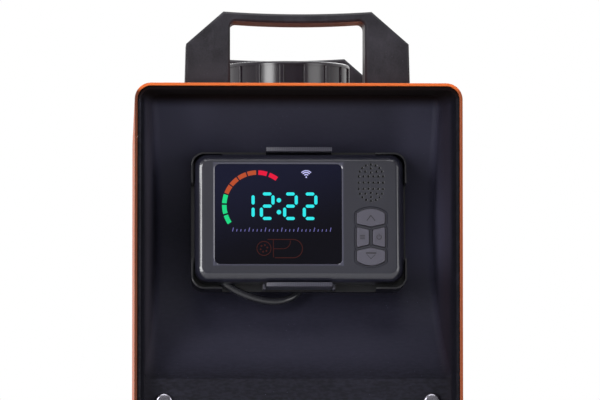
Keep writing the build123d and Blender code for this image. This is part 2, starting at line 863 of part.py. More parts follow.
def scoop_space(back=0.0, grow=0.0):
    """The space in the front moulding, between its two drafted sides, with rounded upper corners."""
    lean = math.tan(math.radians(side_draft))
    mouth = moulding_half - rim_width + grow
    near, far = front_y - reach_out, deepest_y + 3 * reach_out
    wide, narrow = mouth + (rim_y - near) * lean, mouth - (far - rim_y) * lean
    plan = Polygon((-wide, near), (wide, near), (narrow, far), (-narrow, far), align=None)
    space = scoop_outline(back, grow) & extrude(plan, top_z + reach_out)
    ceiling = moulding_top - rim_width + grow
    upper = [edge for edge in space.edges()
             if abs((edge @ 0.5).Z - ceiling) < 0.1 and abs((edge % 0.5).Y) > 0.9]
    space = fillet(upper, moulding_bend - rim_width + grow)
    if not grow:
        deep = [edge for edge in space.edges()
                if (edge @ 0.5).Y > panel_back and (edge @ 0.5).Z > crease_z and abs((edge % 0.5).Y) < 0.9]
        space = fillet(deep, scoop_corner)
    return space


def make_fascia():
    """The front moulding: a rim, drafted sides, a deep scoop above and a flat panel below."""
    body = block((-moulding_half, moulding_half), (rim_y, deepest_y + 2 * fascia_wall),
                 (moulding_low, moulding_top))
    fascia = top_rounded(body, moulding_bend) & scoop_space(fascia_wall, fascia_wall)
    fascia -= scoop_space()
    front, rear = panel_y - overshoot, panel_back + overshoot
    fascia -= on_axis(front, rear, collar_radius + hole_clearance)
    for x, z in face_screw_places():
        fascia -= rod(x, z, front, rear, screw_radius + hole_clearance)
    fascia -= rod(grommet_at.X, grommet_at.Z, panel_back, grommet_at.Y + reach_out, grommet_radius)
    for side in (-1, 1):
        fascia -= rod(controller_offset + side * boss_screw_x, deepest_z, panel_back, deepest_y + reach_out,
                      side_screw_radius + hole_clearance)
    return fascia


# ---- controller ----
def slab(width, height, radius, low, high, x=0.0, y=0.0):
    """A flat plate with rounded corners, in the controller's own frame."""
    return extrude(Plane.XY.offset(low) * Pos(x, y) * RectangleRounded(width, height, radius), high - low)


def case_slab(inset, low, high):
    """A plate with the controller's outline, drawn in by inset."""
    return slab(controller_width - 2 * inset, controller_height - 2 * inset, controller_radius - inset, low, high)


def speaker_holes():
    """Three even rows, with an oval of holes above and below; places are in hole pitches."""
    rows = [(0.0, (0.5, 1.5, 2.5)), (1.3, (0.5, 1.5, 2.5)), (2.1, (0.0,)), (2.3, (1.15, 2.27)),
            (2.97, (0.0,)), (3.05, (1.77,)), (3.57, (1.0,)), (3.78, (0.0,))]
    places = set()
    for up, across in rows:
        for side in across:
            for x, y in ((side, up), (-side, up), (side, -up), (-side, -up)):
                places.add((speaker_x + x * speaker_pitch, speaker_y + y * speaker_pitch))
    return sorted(places)


def key_outline(name, grow=0.0):
    """The outline of one key, grown all round by a clearance."""
    w = key_half_width
    with BuildSketch() as sketch:
        with BuildLine():
            if name in ("key_up", "key_down"):
                side = Polyline((w, key_shoulder), (w, key_split), (0, key_point), (-w, key_split),
                                (-w, key_shoulder))
                ThreePointArc(side @ 1, (0, key_crown), side @ 0)
            else:
                Polyline((w, side_key_outer), (side_key_gap, side_key_inner), (side_key_gap, -side_key_inner),
                         (w, -side_key_outer), close=True)
        make_face()
    shape = fillet(sketch.sketch.vertices(), key_corner)
    if name == "key_down":
        shape = mirror(shape, Plane.XZ)
    if name == "key_left":
        shape = mirror(shape, Plane.YZ)
    if grow:
        shape = offset(shape, grow)
    return Pos(pad_x, pad_y) * shape


def key_middle(name):
    """Where a key's stem stands on its switch."""
    up = (key_crown + key_point) / 2
    across = (key_half_width + side_key_gap) / 2
    steps = {"key_up": (0, up), "key_down": (0, -up), "key_left": (-across, 0), "key_right": (across, 0)}
    x, y = steps[name]
    return pad_x + x, pad_y + y


def make_controller_front():
    outer = case_slab(0, -controller_split, 0)
    outer = fillet(outer.faces().sort_by(Axis.Z)[-1].edges(), controller_edge)
    face = slab(controller_width - 2 * face_inset, controller_height - 2 * face_inset, face_radius,
                face_back, face_rise)
    front = outer + fillet(face.faces().sort_by(Axis.Z)[-1].edges(), face_edge)
    front -= case_slab(controller_wall, -controller_split - overshoot, face_back)
    front -= slab(window_width, window_height, window_radius, face_back - overshoot, face_rise + overshoot,
                  window_x, window_y)
    bevel_top = RectangleRounded(window_width + 2 * window_bevel, window_height + 2 * window_bevel,
                                 window_radius + window_bevel)
    bevel_low = RectangleRounded(window_width, window_height, window_radius)
    at_window = Pos(window_x, window_y)
    front -= loft([(Plane.XY.offset(face_rise - window_sink) * at_window * bevel_low).face(),
                   (Plane.XY.offset(face_rise) * at_window * bevel_top).face()])
    for name in key_names:
        front -= extrude(Plane.XY.offset(face_back - overshoot) * key_outline(name, key_gap), 5 * overshoot)
        front -= extrude(Plane.XY.offset(face_rise - pad_sink) * key_outline(name, pad_gap), pad_sink,
                         taper=-pad_flare)
    for x, y in speaker_holes():
        front -= post(x, y, face_back - overshoot, face_rise + overshoot, speaker_hole)
        flare = Cone(speaker_hole, speaker_hole + speaker_flare, speaker_flare_depth)
        front -= Pos(x, y, face_rise - speaker_flare_depth / 2) * flare
    return front


def make_controller_back():
    back = case_slab(0, -controller_thickness, -controller_split)
    back = fillet(back.faces().sort_by(Axis.Z)[0].edges(), controller_back_edge)
    floor = -controller_thickness + controller_wall
    back -= case_slab(controller_wall, floor, 0)
    x = controller_width / 2 - board_post_inset
    y = controller_height / 2 - board_post_inset
    for place in both_sides((x, -y), (x, y)):
        back += post(*place, floor - controller_wall / 2, board_bottom, board_post_radius)
    back = controller_plane * back
    return back - cord(lead_route[:3], lead_diameter / 2 + lead_hole_gap, "lead hole")


def make_window():
    front = slab(window_width - 2 * window_gap, window_height - 2 * window_gap, window_radius - window_gap,
                 face_back, face_rise - window_sink, window_x, window_y)
    flange = slab(window_width + 2 * window_ledge, window_height + 2 * window_ledge,
                  window_radius + window_ledge, window_back, face_back, window_x, window_y)
    return front + flange


def make_board():
    """The board with what is soldered to it: the display, the sounder and the four switches."""
    board = case_slab(controller_wall + board_gap, board_bottom, board_top)
    board += slab(display_width, display_height, display_radius, board_top, window_back, window_x, window_y)
    board += post(speaker_x, speaker_y, board_top, face_back, speaker_radius)
    half = switch_size / 2
    for name in key_names:
        x, y = key_middle(name)
        board += block((x - half, x + half), (y - half, y + half), (board_top, board_top + switch_height))
    return board


def make_key(name):
    key = extrude(Plane.XY.offset(face_back) * key_outline(name), face_rise + key_rise - face_back)
    key = fillet(key.faces().sort_by(Axis.Z)[-1].edges(), key_edge)
    flange_low = face_back - key_flange_thickness
    key += extrude(Plane.XY.offset(flange_low) * key_outline(name, key_flange), key_flange_thickness)
    stem_low = board_top + switch_height + key_travel + running_clearance
    return key + post(*key_middle(name), stem_low, flange_low, key_stem_radius)


def holder_slab(inset, low, high, over):
    """A plate with the holder's outline, drawn in by inset."""
    top, bottom = controller_height / 2 + over, controller_height / 2 + holder_under
    return slab(controller_width + 2 * (holder_beside - inset), top + bottom - 2 * inset, holder_radius - inset,
                low, high, 0, (top - bottom) / 2)


def make_holder():
    """The tray behind the controller: a back plate, four thin corner walls, two tabs and two nubs."""
    floor_top = -controller_thickness
    floor_low = floor_top - holder_floor
    wall_top = -holder_below_face
    walls = holder_slab(0, floor_top, wall_top, holder_over)
    walls -= holder_slab(holder_wall, floor_top, wall_top, holder_over)
    outer_w = controller_width / 2 + holder_beside
    top, bottom = controller_height / 2 + holder_over, -controller_height / 2 - holder_under
    above = (floor_top, wall_top)
    walls -= block((holder_corner - outer_w, outer_w - holder_corner), (bottom - overshoot, top + overshoot), above)
    walls -= block((-outer_w - overshoot, outer_w + overshoot), (bottom + holder_corner, top - holder_corner), above)
    clear = case_slab(-holder_touch, -controller_thickness, 0)
    walls -= fillet(clear.faces().sort_by(Axis.Z)[-1].edges(), controller_edge)
    holder = walls + holder_slab(0, floor_low, floor_top, holder_back_over)
    for up, gap in ((1, tab_gap_over), (-1, tab_gap)):
        near = controller_height / 2 + gap
        tab = block((-tab_width / 2, tab_width / 2), (up * near, up * (near + tab_thickness)), (floor_low, tab_rise))
        holder += rounded(tab, Axis.X, tab_edge)
    for side in (-1, 1):
        nub_at = tab_width / 2 + nub_gap
        holder += block((side * nub_at, side * (nub_at + nub_width)), (-near, -near - tab_thickness - nub_proud),
                        (floor_low, -nub_depth))
    return controller_plane * holder


def make_boss():
    """The wedge between the holder's back and the curved wall behind it, with two screw holes."""
    floor_low = -controller_thickness - holder_floor
    wedge = controller_plane * block((-boss_half_width, boss_half_width), (boss_low, boss_high),
                                     (floor_low - scoop_depth, floor_low))
    wedge &= scoop_space(-seat_gap)
    for side in (-1, 1):
        wedge -= rod(controller_offset + side * boss_screw_x, deepest_z, deepest_y - boss_screw_bite,
                     deepest_y + reach_out, side_screw_radius)
    return wedge


def make_controller_holder():
    holder = make_holder() + make_boss()
    return holder - cord(lead_route[:4], lead_diameter / 2 + lead_notch_gap, "lead notch")


def make_grommet():
    """A rubber ring in the moulding's wall, with a flange that follows the wall."""
    x, y, z = grommet_at
    sleeve = rod(x, z, y - grommet_length, y, grommet_radius - running_clearance)
    rim = rod(x, z, y - 1.5 * grommet_length, y + grommet_length, grommet_radius + grommet_rim)
    rim = (rim & scoop_space(-seat_gap)) - scoop_space(-seat_gap - grommet_flange)
    return sleeve + rim - cord(lead_route[-4:], lead_diameter / 2 + running_clearance, "grommet bore")


def make_plug():
    """The lead's plug, lying against the moulding's back."""
    x = grommet_at.X
    plug = block((x - plug_width / 2, x + plug_width / 2), (plug_near, plug_near + plug_depth),
                 (plug_top - plug_height, plug_top))
    return rounded(plug, Axis.Z, plug_radius)


# ---- tank, shelf and fuel line ----
def make_shelf():
    """The shelf with its upstands, side lips, tank stops and the pump's bracket."""
    half = inner_half - shelf_margin
    shelf = block((-half, half), (shelf_front, shelf_rear), (shelf_z, shelf_top))
    for y, inner in ((shelf_front, shelf_front + shelf_sheet), (shelf_rear, shelf_rear - shelf_sheet)):
        shelf += block((-half, half), (y, inner), (shelf_top, shelf_z + shelf_upstand))
    for x in (-face_screw_x, face_screw_x):
        shelf -= rod(x, face_screw_z, shelf_front - overshoot, shelf_rear + overshoot, screw_radius)
    for side in (-1, 1):
        shelf += block((side * half, side * (half - shelf_sheet)), (shelf_front, shelf_rear),
                       (shelf_z - shelf_side, shelf_z))
        stop = side * (tank_length / 2 + seat_gap)
        for x in (-tank_width / 4, tank_width / 4):
            shelf += block((x - stop_half_width, x + stop_half_width), (stop, stop + side * shelf_sheet),
                           (shelf_top, shelf_top + stop_height))
    for x, y in (hose_hole, harness_hole):
        shelf -= post(x, y, shelf_z - overshoot, shelf_top + overshoot, shelf_hole_radius)
    sides = (pump_x - bracket_half_width, pump_x + bracket_half_width)
    shelf += block(sides, (bracket_y, bracket_y + bracket_sheet), (shelf_top, shelf_top + bracket_height))
    shelf += block(sides, (bracket_y - bracket_foot, bracket_y), (shelf_top, shelf_top + bracket_sheet))
    return shelf


def make_tank():
    outer = block((-tank_width / 2, tank_width / 2), (-tank_length / 2, tank_length / 2), (tank_base, tank_top))
    x, y = tank_width / 2 - tank_wall, tank_length / 2 - tank_wall
    inner = block((-x, x), (-y, y), (tank_base + tank_wall, tank_top - tank_wall))
    inner = fillet(inner.edges(), tank_radius - tank_wall)
    neck = post(0, 0, tank_top - overshoot, neck_top, neck_radius)
    collar = post(0, 0, moulding_top - neck_collar_height, moulding_top, neck_radius + neck_collar)
    tank = fillet(outer.edges(), tank_radius) + neck + collar - inner
    low = tank_top - tank_wall - overshoot
    tank -= post(0, 0, low, neck_top + overshoot, neck_radius - neck_wall)
    return tank - post(pickup_x, pickup_y, low, tank_top + overshoot, pickup_radius)


def make_pickup():
    """The pipe that draws fuel from the tank's floor, with a spigot above."""
    x, y = pickup_x, pickup_y
    head = tank_top + pickup_flange_height
    spigot_z = tank_top + pickup_lift
    pickup = post(x, y, tank_base + tank_wall + pickup_foot_gap, head, pickup_stem_radius)
    pickup += post(x, y, tank_top - tank_wall, tank_top, pickup_radius - running_clearance)
    pickup += post(x, y, tank_top, head, pickup_flange)
    pickup += post(x, y, head, head + pickup_lift, pickup_radius)
    pickup += rod(x, spigot_z, y, y + pickup_spigot, spigot_radius)
    return pickup - post(x, y, tank_base, head, pickup_bore)


def make_pump():
    x, y = pump_x, pump_y
    body = post(x, y, pump_bottom, pump_top, pump_radius)
    body = fillet(body.edges(), pump_edge)
    body += post(x, y, pump_bottom - nipple, chamber_low, spigot_radius)
    body += post(x, y, chamber_high, pump_top + nipple, spigot_radius)
    face = y - pump_radius
    body += block((x - pump_plug_half_width, x + pump_plug_half_width), (face - pump_plug_reach, y),
                  (pump_bottom + pump_plug_low, pump_bottom + pump_plug_high))
    return body - post(x, y, chamber_low, chamber_high, plunger_radius + running_clearance)


def make_plunger():
    plunger = post(pump_x, pump_y, plunger_low, plunger_high, plunger_radius)
    return plunger - post(pump_x, pump_y, plunger_low, plunger_high, plunger_bore)


def make_spring():
    """The coil that pushes the plunger back, standing on it."""
    low = plunger_high + spring_wire + running_clearance
    high = chamber_high - spring_wire - running_clearance
    coil = Helix(pitch=(high - low) / spring_turns, height=high - low, radius=spring_radius)
    wire = sweep(Plane(origin=coil @ 0, z_dir=coil % 0) * Circle(spring_wire), path=coil)
    return Pos(pump_x, pump_y, low) * wire


def make_pump_holder():
    """A rubber ring round the pump, with a foot on its bracket."""
    x, y = pump_x, pump_y
    low = pump_bottom + pump_holder_low
    high = low + pump_holder_height
    holder = post(x, y, low, high, pump_radius + pump_holder_wall)
    holder += block((x - pump_holder_half_width, x + pump_holder_half_width), (y, bracket_y), (low, high))
    return holder - post(x, y, low - overshoot, high + overshoot, pump_radius + running_clearance)


def make_filter():
    body = post(filter_x, filter_y, filter_bottom, filter_top, filter_radius)
    body = fillet(body.edges(), filter_edge)
    return body + post(filter_x, filter_y, filter_bottom - nipple, filter_top + nipple, spigot_radius)


# ---- heater unit ----
def unit_body(inset):
    """The unit's rounded body, drawn in by inset."""
    x = unit_width / 2 - inset
    body = block((-x, x), (unit_front + inset, unit_rear - inset), (unit_bottom + inset, unit_top - inset))
    return rounded(body, Axis.Y, unit_radius - inset)


def make_unit_shells():
    """The unit's plastic case: a lower and an upper half, split at the shaft's height."""
    whole = unit_body(0) - unit_body(unit_wall)
    mouth = unit_front - spigot_length
    whole += on_axis(mouth, unit_front + unit_wall, outlet_radius)
    whole -= on_axis(mouth - overshoot, unit_front + unit_wall + overshoot, outlet_radius - unit_wall)
    back_wall = unit_rear - unit_wall
    whole -= on_axis(back_wall - overshoot, unit_rear + overshoot, inlet_radius)
    whole += ring(fan_front - fan_ring_lead, back_wall, inlet_radius + fan_ring_wall, inlet_radius)
    inside = unit_width / 2 - unit_wall
    for side in (-1, 1):
        to_fins = (side * (exchanger_radius + fin_height + seat_gap), side * inside)
        for y in (exchanger_front + carrier_inset, exchanger_rear - carrier_inset):
            whole += block(to_fins, (y, y + carrier_thickness),
                           (unit_z - carrier_half_height, unit_z + carrier_half_height))
        y = motor_front + motor_carrier_inset
        whole += block((side * (motor_radius + seat_gap), side * inside), (y, y + carrier_thickness),
                       (unit_z - motor_carrier_half_height, unit_z + motor_carrier_half_height))
    for y, radius in pipe_ports:
        whole -= post(0, y, bottom_z, unit_floor, radius + pipe_clearance)
    for x, y, radius in glands:
        whole -= post(x, y, unit_ceiling - overshoot, unit_top + overshoot, radius + hole_clearance)
    whole -= post(needle_x, needle_y, unit_ceiling - overshoot, unit_top + overshoot,
                  spigot_radius + needle_clearance)
    everywhere = (unit_front - 2 * spigot_length, unit_rear + spigot_length)
    lower = block((-unit_width, unit_width), everywhere, (0, unit_z))
    return whole & lower, whole - lower


def make_exchanger():
    """The finned aluminium body round the burner, with a port for the exhaust and a sensor's seat."""
    body = on_axis(exchanger_front, exchanger_rear, exchanger_radius)
    body = fillet(body.edges().group_by(Axis.Y)[0], exchanger_nose)
    front, rear = exchanger_front + fin_front_gap, exchanger_rear - fin_rear_gap
    root = exchanger_radius - exchanger_wall / 2
    for index in range(fin_count):
        fin = block((root, exchanger_radius + fin_height), (front, rear), (-fin_thickness / 2, fin_thickness / 2))
        body += Pos(0, 0, unit_z) * Rot(0, 360 / fin_count * (index + 0.5), 0) * fin
    under = unit_z - exchanger_radius + exchanger_wall
    body += block((-pad_half_width, pad_half_width), (exhaust_y - pad_half_width, exhaust_y + pad_half_width),
                  (unit_floor, under))
    body -= on_axis(exchanger_front + exchanger_end_wall, exchanger_rear + overshoot,
                    exchanger_radius - exchanger_wall)
    port = exhaust_radius + pipe_shoulder + running_clearance
    body -= post(0, exhaust_y, unit_bottom, under + exchanger_wall, port)
    square = (-sensor_seat_half, sensor_seat_half)
    along = (sensor_y - sensor_seat_half, sensor_y + sensor_seat_half)
    body -= block(square, along, (seat_z - sensor_seat_depth, seat_z + fin_height))
    return body + block(square, along, (seat_z - sensor_seat_depth, seat_z))


def make_sensor():
    sensor = post(0, sensor_y, seat_z, seat_z + sensor_height, sensor_radius)
    return fillet(sensor.edges().group_by(Axis.Z)[-1], sensor_edge)


def make_burner():
    """The flange with its drilled tube, and the needle that feeds fuel in from above."""
    tip = exchanger_rear - burner_length
    burner = on_axis(exchanger_rear, burner_rear, exchanger_radius + burner_flange_step)
    burner += on_axis(tip, exchanger_rear, burner_radius)
    burner -= on_axis(tip - overshoot, burner_rear - burner_floor, burner_radius - burner_wall)
    half_turn = 180 / burner_holes
    for row in range(burner_hole_rings):
        y = exchanger_rear - burner_hole_start - burner_hole_pitch * row
        for index in range(burner_holes):
            angle = math.radians(half_turn * (2 * index + row % 2))
            outward = Vector(math.cos(angle), 0, math.sin(angle)) * burner_radius
            middle = Vector(0, y, unit_z)
            burner -= bar(middle + outward * 0.7, middle + outward * 1.2, burner_hole_radius)
    burner -= on_axis(burner_rear - 2 * burner_floor, burner_rear + overshoot, burner_throat)
    burner -= post(0, needle_y, unit_z + glow_pocket, unit_top, glow_radius)
    return burner + post(needle_x, needle_y, unit_z + glow_pocket, needle_top, spigot_radius)


def make_glow_plug():
    top = unit_z + exchanger_radius + burner_flange_step
    pin = post(0, needle_y, unit_z + glow_depth, top + glow_tail, glow_radius - running_clearance)
    collar = Plane.XY.offset(top) * Pos(0, needle_y) * RegularPolygon(glow_collar_radius, 6)
    return pin + extrude(collar, glow_collar_height)


def make_blower_case():
    """The combustion-air blower's housing, between the burner and the motor."""
    case = on_axis(burner_rear, motor_front, blower_radius)
    case -= on_axis(burner_rear + blower_wall, motor_front - blower_wall, blower_radius - blower_wall)
    case -= on_axis(wheel_rear, motor_front + overshoot, shaft_radius + running_clearance)
    case -= on_axis(burner_rear - overshoot, wheel_front, burner_throat)
    under = unit_z - blower_radius + 2 * blower_wall
    case += block((-pad_half_width, pad_half_width), (intake_y - pad_half_width, intake_y + pad_half_width),
                  (unit_floor, under))
    case -= on_axis(burner_rear + blower_wall, motor_front - blower_wall, blower_radius - blower_wall)
    port = intake_radius + pipe_shoulder + running_clearance
    return case - post(0, intake_y, unit_bottom, under + blower_wall, port)


def make_motor():
    motor = fillet(on_axis(motor_front, motor_rear, motor_radius).edges(), motor_edge)
    return motor - on_axis(motor_front - overshoot, motor_rear + overshoot, shaft_radius + running_clearance)


def make_shaft():
    return on_axis(wheel_front, fan_rear, shaft_radius)


def make_wheel():
    """The blower's wheel: a plate on a hub, with straight vanes in front of it."""
    wheel = on_axis(wheel_rear - wheel_plate, wheel_rear, wheel_radius)
    wheel += on_axis(wheel_front, wheel_rear, wheel_hub)
    tip = wheel_radius - overshoot
    for index in range(wheel_vanes):
        vane = block((tip - vane_length, tip), (wheel_front + wheel_plate / 2, wheel_rear),
                     (-vane_thickness / 2, vane_thickness / 2))
        wheel += Pos(0, 0, unit_z) * Rot(0, 360 / wheel_vanes * index, 0) * vane
    return wheel - on_axis(wheel_front - overshoot, wheel_rear + overshoot, shaft_radius)


def make_fan():
    """The warm-air fan at the unit's inlet: a hub with twisted blades."""
    fan = fillet(on_axis(fan_front, fan_rear, fan_hub_radius).edges().group_by(Axis.Y)[-1], fan_hub_edge)
    root, tip = fan_hub_radius - fan_blade_thickness, fan_radius + fan_blade_thickness
    flat = Rot(fan_pitch_angle, 0, 0) * Box(tip - root, fan_blade_thickness, fan_length)
    for index in range(fan_blades):
        turn = Rot(0, 360 / fan_blades * index, 0)
        fan += Pos(0, (fan_front + fan_rear) / 2, unit_z) * turn * Pos((root + tip) / 2, 0, 0) * flat
    fan &= on_axis(fan_front, fan_rear, fan_radius)
    return fan - on_axis(fan_front - overshoot, fan_rear + overshoot, shaft_radius)


def make_control_unit():
    """The control box under the unit's lid, with three sockets in front and two lead glands."""
    top = unit_ceiling
    front = motor_front + control_gap
    box = block((-control_half_width, control_half_width), (front, front + control_length),
                (top - control_height, top))
    box = rounded(box, Axis.Z, control_radius)
    half = control_socket_width / 2
    for index in range(control_sockets):
        x = control_socket_pitch * (index - (control_sockets - 1) / 2)
        box -= block((x - half, x + half), (front - overshoot, front + control_socket_depth),
                     (top - control_socket_low, top - control_socket_high))
    for x, y, radius in glands:
        box -= post(x, y, top - gland_depth, top + overshoot, radius + hole_clearance)
    return box


def make_port_gasket():
    plate = block((-gasket_half_width, gasket_half_width), (exhaust_y - gasket_margin, intake_y + gasket_margin),
                  (base_top, unit_bottom))
    plate = rounded(plate, Axis.Z, gasket_radius)
    for y, radius in pipe_ports:
        plate -= post(0, y, base_top - overshoot, unit_bottom + overshoot, radius + pipe_clearance)
    return plate


def make_stub(y, radius):
    """A pipe that reaches out below the case, with its shoulder level with the base."""
    low, high = bottom_z - pipe_below_base, unit_floor + pipe_in_unit
    stub = post(0, y, low, bottom_z, radius) + post(0, y, bottom_z, high, radius + pipe_shoulder)
    return stub - post(0, y, low, high, radius - pipe_wall)


def make_duct():
    """The sleeve from the unit's outlet to the vent."""
    inner = outlet_radius + duct_gap
    duct = ring(collar_end, unit_front - spigot_length + duct_lap, inner + duct_wall, inner)
    return duct + ring(collar_end, collar_end + duct_wall, collar_radius, inner)


# ---- vent ----
def make_vent_ring():
    flange = on_axis(vent_face, panel_y, vent_flange_radius)
    flange = fillet(flange.edges().group_by(Axis.Y)[0], vent_flange_edge)
    housing = flange + on_axis(panel_y, collar_end, collar_radius)
    housing -= on_axis(vent_face - overshoot, collar_end + overshoot, vent_bore)
    return housing + ring(barrel_rear + barrel_gap, collar_end, collar_radius, vent_bore - vent_stop)


def make_barrel():
    """The ring that turns in the vent and carries the blades."""
    barrel = ring(barrel_front, barrel_rear, barrel_radius, barrel_bore)
    lip = ring(barrel_front, vent_face - barrel_gap, barrel_radius + barrel_lip, barrel_bore)
    barrel += fillet(lip.edges().group_by(Axis.Y)[0].sort_by(SortBy.RADIUS)[-1], barrel_edge)
    for z in blade_places():
        barrel -= cross_bar(blade_y, unit_z + z, -half_width, half_width, blade_pin_radius + running_clearance)
    return barrel


def blade_places():
    return [blade_pitch * (index - (blade_count - 1) / 2) for index in range(blade_count)]


def make_blade(z):
    """One louvre blade, as wide as the round barrel lets it tilt, on two pins."""
    sweep_up = blade_depth / 2 * math.sin(math.radians(blade_tilt)) + blade_thickness / 2
    half = math.sqrt(barrel_bore ** 2 - (abs(z) + sweep_up) ** 2) - blade_end_gap
    blade = Box(2 * half, blade_depth, blade_thickness)
    blade = fillet(blade.edges().filter_by(Axis.X), blade_thickness * blade_edge_share)
    reach = math.sqrt((barrel_bore + barrel_wall * blade_pin_share) ** 2 - z ** 2)
    return Pos(0, blade_y, unit_z + z) * (blade + cross_bar(0, 0, -reach, reach, blade_pin_radius))


# ---- rear cover ----
def grille_slots():
    """Rows of rounded slots that fill a circle, in two halves."""
    slots = []
    rows = int(grille_radius / grille_pitch)
    for step in range(-rows, rows + 1):
        z = step * grille_pitch
        reach = grille_radius ** 2 - (abs(z) + grille_slot / 2) ** 2
        if reach > grille_shortest ** 2:
            for side in (-1, 1):
                slot = block((side * grille_mullion, side * math.sqrt(reach)),
                             (rear_inside - overshoot, rear_face + overshoot),
                             (unit_z + z - grille_slot / 2, unit_z + z + grille_slot / 2))
                slots.append(rounded(slot, Axis.Y, grille_slot * grille_edge_share))
    return slots


def make_rear_cover():
    cover = block((-moulding_half, moulding_half), (rear_inside, rear_face), (moulding_low, moulding_top))
    cover = top_rounded(cover, moulding_bend)
    for side in (-1, 1):
        cover += block((side * moulding_half, side * (moulding_half - rear_skirt_wall)),
                       (rear_face - rear_skirt, rear_inside),
                       (shelf_z + shelf_upstand + rear_skirt_gap, moulding_top - rear_skirt_top))
    for slot in grille_slots():
        cover -= slot
    front, rear = rear_inside - overshoot, rear_face + overshoot
    for x, z in face_screw_places():
        cover -= rod(x, z, front, rear, screw_radius + hole_clearance)
    return cover - rod(inlet_socket_x, socket_z, front, rear, socket_radius)


def make_socket():
    """The two-pole power inlet in the rear cover."""
    x, z = inlet_socket_x, socket_z
    flange = rod(x, z, rear_face, rear_face + socket_flange_thickness, socket_radius + socket_flange)
    socket = fillet(flange.edges().group_by(Axis.Y)[-1], socket_edge)
    socket += rod(x, z, rear_face - socket_length, rear_face, socket_radius - running_clearance)
    floor = rear_face - socket_depth
    socket -= rod(x, z, floor, rear_face + 2 * socket_flange_thickness, socket_radius - socket_wall)
    for side in (-1, 1):
        socket += rod(x + side * contact_x, z, floor - contact_root, floor + contact_length, contact_radius)
    return socket


# ---- cap ----
def make_cap():
    """The ribbed cap over the tank's neck, hollow between its thread and its skirt."""
    under_rim = cap_high - cap_rim_height
    cap = post(0, 0, cap_low, cap_high, cap_body_radius)
    rim = post(0, 0, under_rim, cap_high, cap_radius)
    cap += fillet(rim.edges().group_by(Axis.Z)[-1], cap_rim_radius)
    rib = Box(2 * cap_rib_height, cap_rib_width, under_rim - cap_low)
    rib = Pos(cap_body_radius, 0, (cap_low + under_rim) / 2) * rounded(rib, Axis.Z, cap_rib_radius)
    for index in range(cap_ribs):
        cap += Rot(0, 0, cap_turned + 360 / cap_ribs * (index + 0.5)) * rib
    cap -= post(0, 0, cap_low - overshoot, neck_top + seal_thickness + seat_gap,
                neck_radius + cap_thread_clearance)
    hollow = post(0, 0, cap_low - overshoot, neck_top - cap_thread_short, cap_body_radius - cap_wall)
    thread = post(0, 0, cap_low - overshoot, neck_top - cap_thread_short,
                  neck_radius + cap_thread_clearance + cap_thread_wall)
    return cap - (hollow - thread)


def make_seal():
    high = neck_top + seal_thickness
    return post(0, 0, neck_top, high, neck_radius) - post(0, 0, neck_top, high, neck_radius - neck_wall)


# ---- screws ----
def make_case_screws():
    """The large screws of the front moulding, the rear cover and the handles."""
    screws = [large_screw((x, y, inner_top), (0, 0, 1)) for x, y in handle_screw_places()]
    for x, z in face_screw_places():
        screws.append(large_screw((x, panel_y, z), (0, 1, 0)))
        screws.append(large_screw((x, rear_face, z), (0, -1, 0)))
    return screws


def make_small_screws():
    """The screws through the shell's sides, and the two that hold the controller's holder."""
    screws = []
    for side in (-1, 1):
        screws += [small_screw((side * half_width, y, side_screw_z), (-side, 0, 0)) for y in side_screw_places()]
        screws.append(small_screw((controller_offset + side * boss_screw_x, deepest_y + fascia_wall, deepest_z),
                                  (0, -1, 0)))
    return screws


# ---- build ----
def build():
    save(make_shell(), "shell")
    save(make_base(), "base_plate")
    foot_places = both_sides((foot_x, -foot_y), (foot_x, foot_y))
    save(group(make_foot(x, y) for x, y in foot_places), "feet")
    save(group(make_foot_screw(x, y) for x, y in foot_places), "foot_screws")
    for name, middle in handle_middles.items():
        save(make_handle(middle), name)
    save(group(make_case_screws()), "case_screws")
    save(group(make_small_screws()), "small_screws")
    save(make_fascia(), "fascia")
    save(make_rear_cover(), "rear_cover")
    save(make_socket(), "power_socket")
    save(controller_plane * make_controller_front(), "controller_front")
    save(make_controller_back(), "controller_back")
    save(controller_plane * make_window(), "display_window")
    save(controller_plane * make_board(), "controller_board")
    for name in key_names:
        save(controller_plane * make_key(name), name)
    save(make_controller_holder(), "controller_holder")
    save(cord(lead_route, lead_diameter / 2, "controller lead"), "controller_lead")
    save(make_grommet(), "lead_grommet")
    save(make_plug(), "lead_plug")
    save(make_shelf(), "tank_shelf")
    save(make_tank(), "fuel_tank")
    save(make_pickup(), "pickup_pipe")
    save(make_cap(), "fuel_cap")
    save(make_seal(), "cap_seal")
    save(make_pump(), "pump_body")
    save(make_plunger(), "pump_plunger")
    save(make_spring(), "pump_spring")
    save(make_pump_holder(), "pump_holder")
    save(make_filter(), "fuel_filter")
    save(cord(tank_hose_route, hose_radius, "tank hose"), "tank_hose")
    save(cord(filter_hose_route, hose_radius, "filter hose"), "filter_hose")
    save(cord(pump_hose_route, hose_radius, "pump hose"), "pump_hose")
    save(cord(harness_route, harness_radius, "harness"), "harness")
    save(cord(power_route, power_lead_radius, "power lead"), "power_lead")
    lower, upper = make_unit_shells()
    save(lower, "unit_lower_shell")
    save(upper, "unit_upper_shell")
    save(make_exchanger(), "heat_exchanger")
    save(make_sensor(), "heat_sensor")
    save(make_burner(), "burner")
    save(make_glow_plug(), "glow_plug")
    save(make_blower_case(), "blower_case")
    save(make_motor(), "fan_motor")
    save(make_shaft(), "motor_shaft")
    save(make_wheel(), "blower_wheel")
    save(make_fan(), "air_fan")
    save(make_control_unit(), "control_unit")
    save(make_port_gasket(), "port_gasket")
    save(make_stub(exhaust_y, exhaust_radius), "exhaust_stub")
    save(make_stub(intake_y, intake_radius), "intake_stub")
    save(make_duct(), "outlet_duct")
    save(make_vent_ring(), "vent_ring")
    save(make_barrel(), "vent_barrel")
    for index, z in enumerate(blade_places()):
        save(make_blade(z), "vent_blade_" + str(index + 1))


build()
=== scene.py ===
import json
import math

import bmesh
import bpy
from mathutils import Matrix, Vector

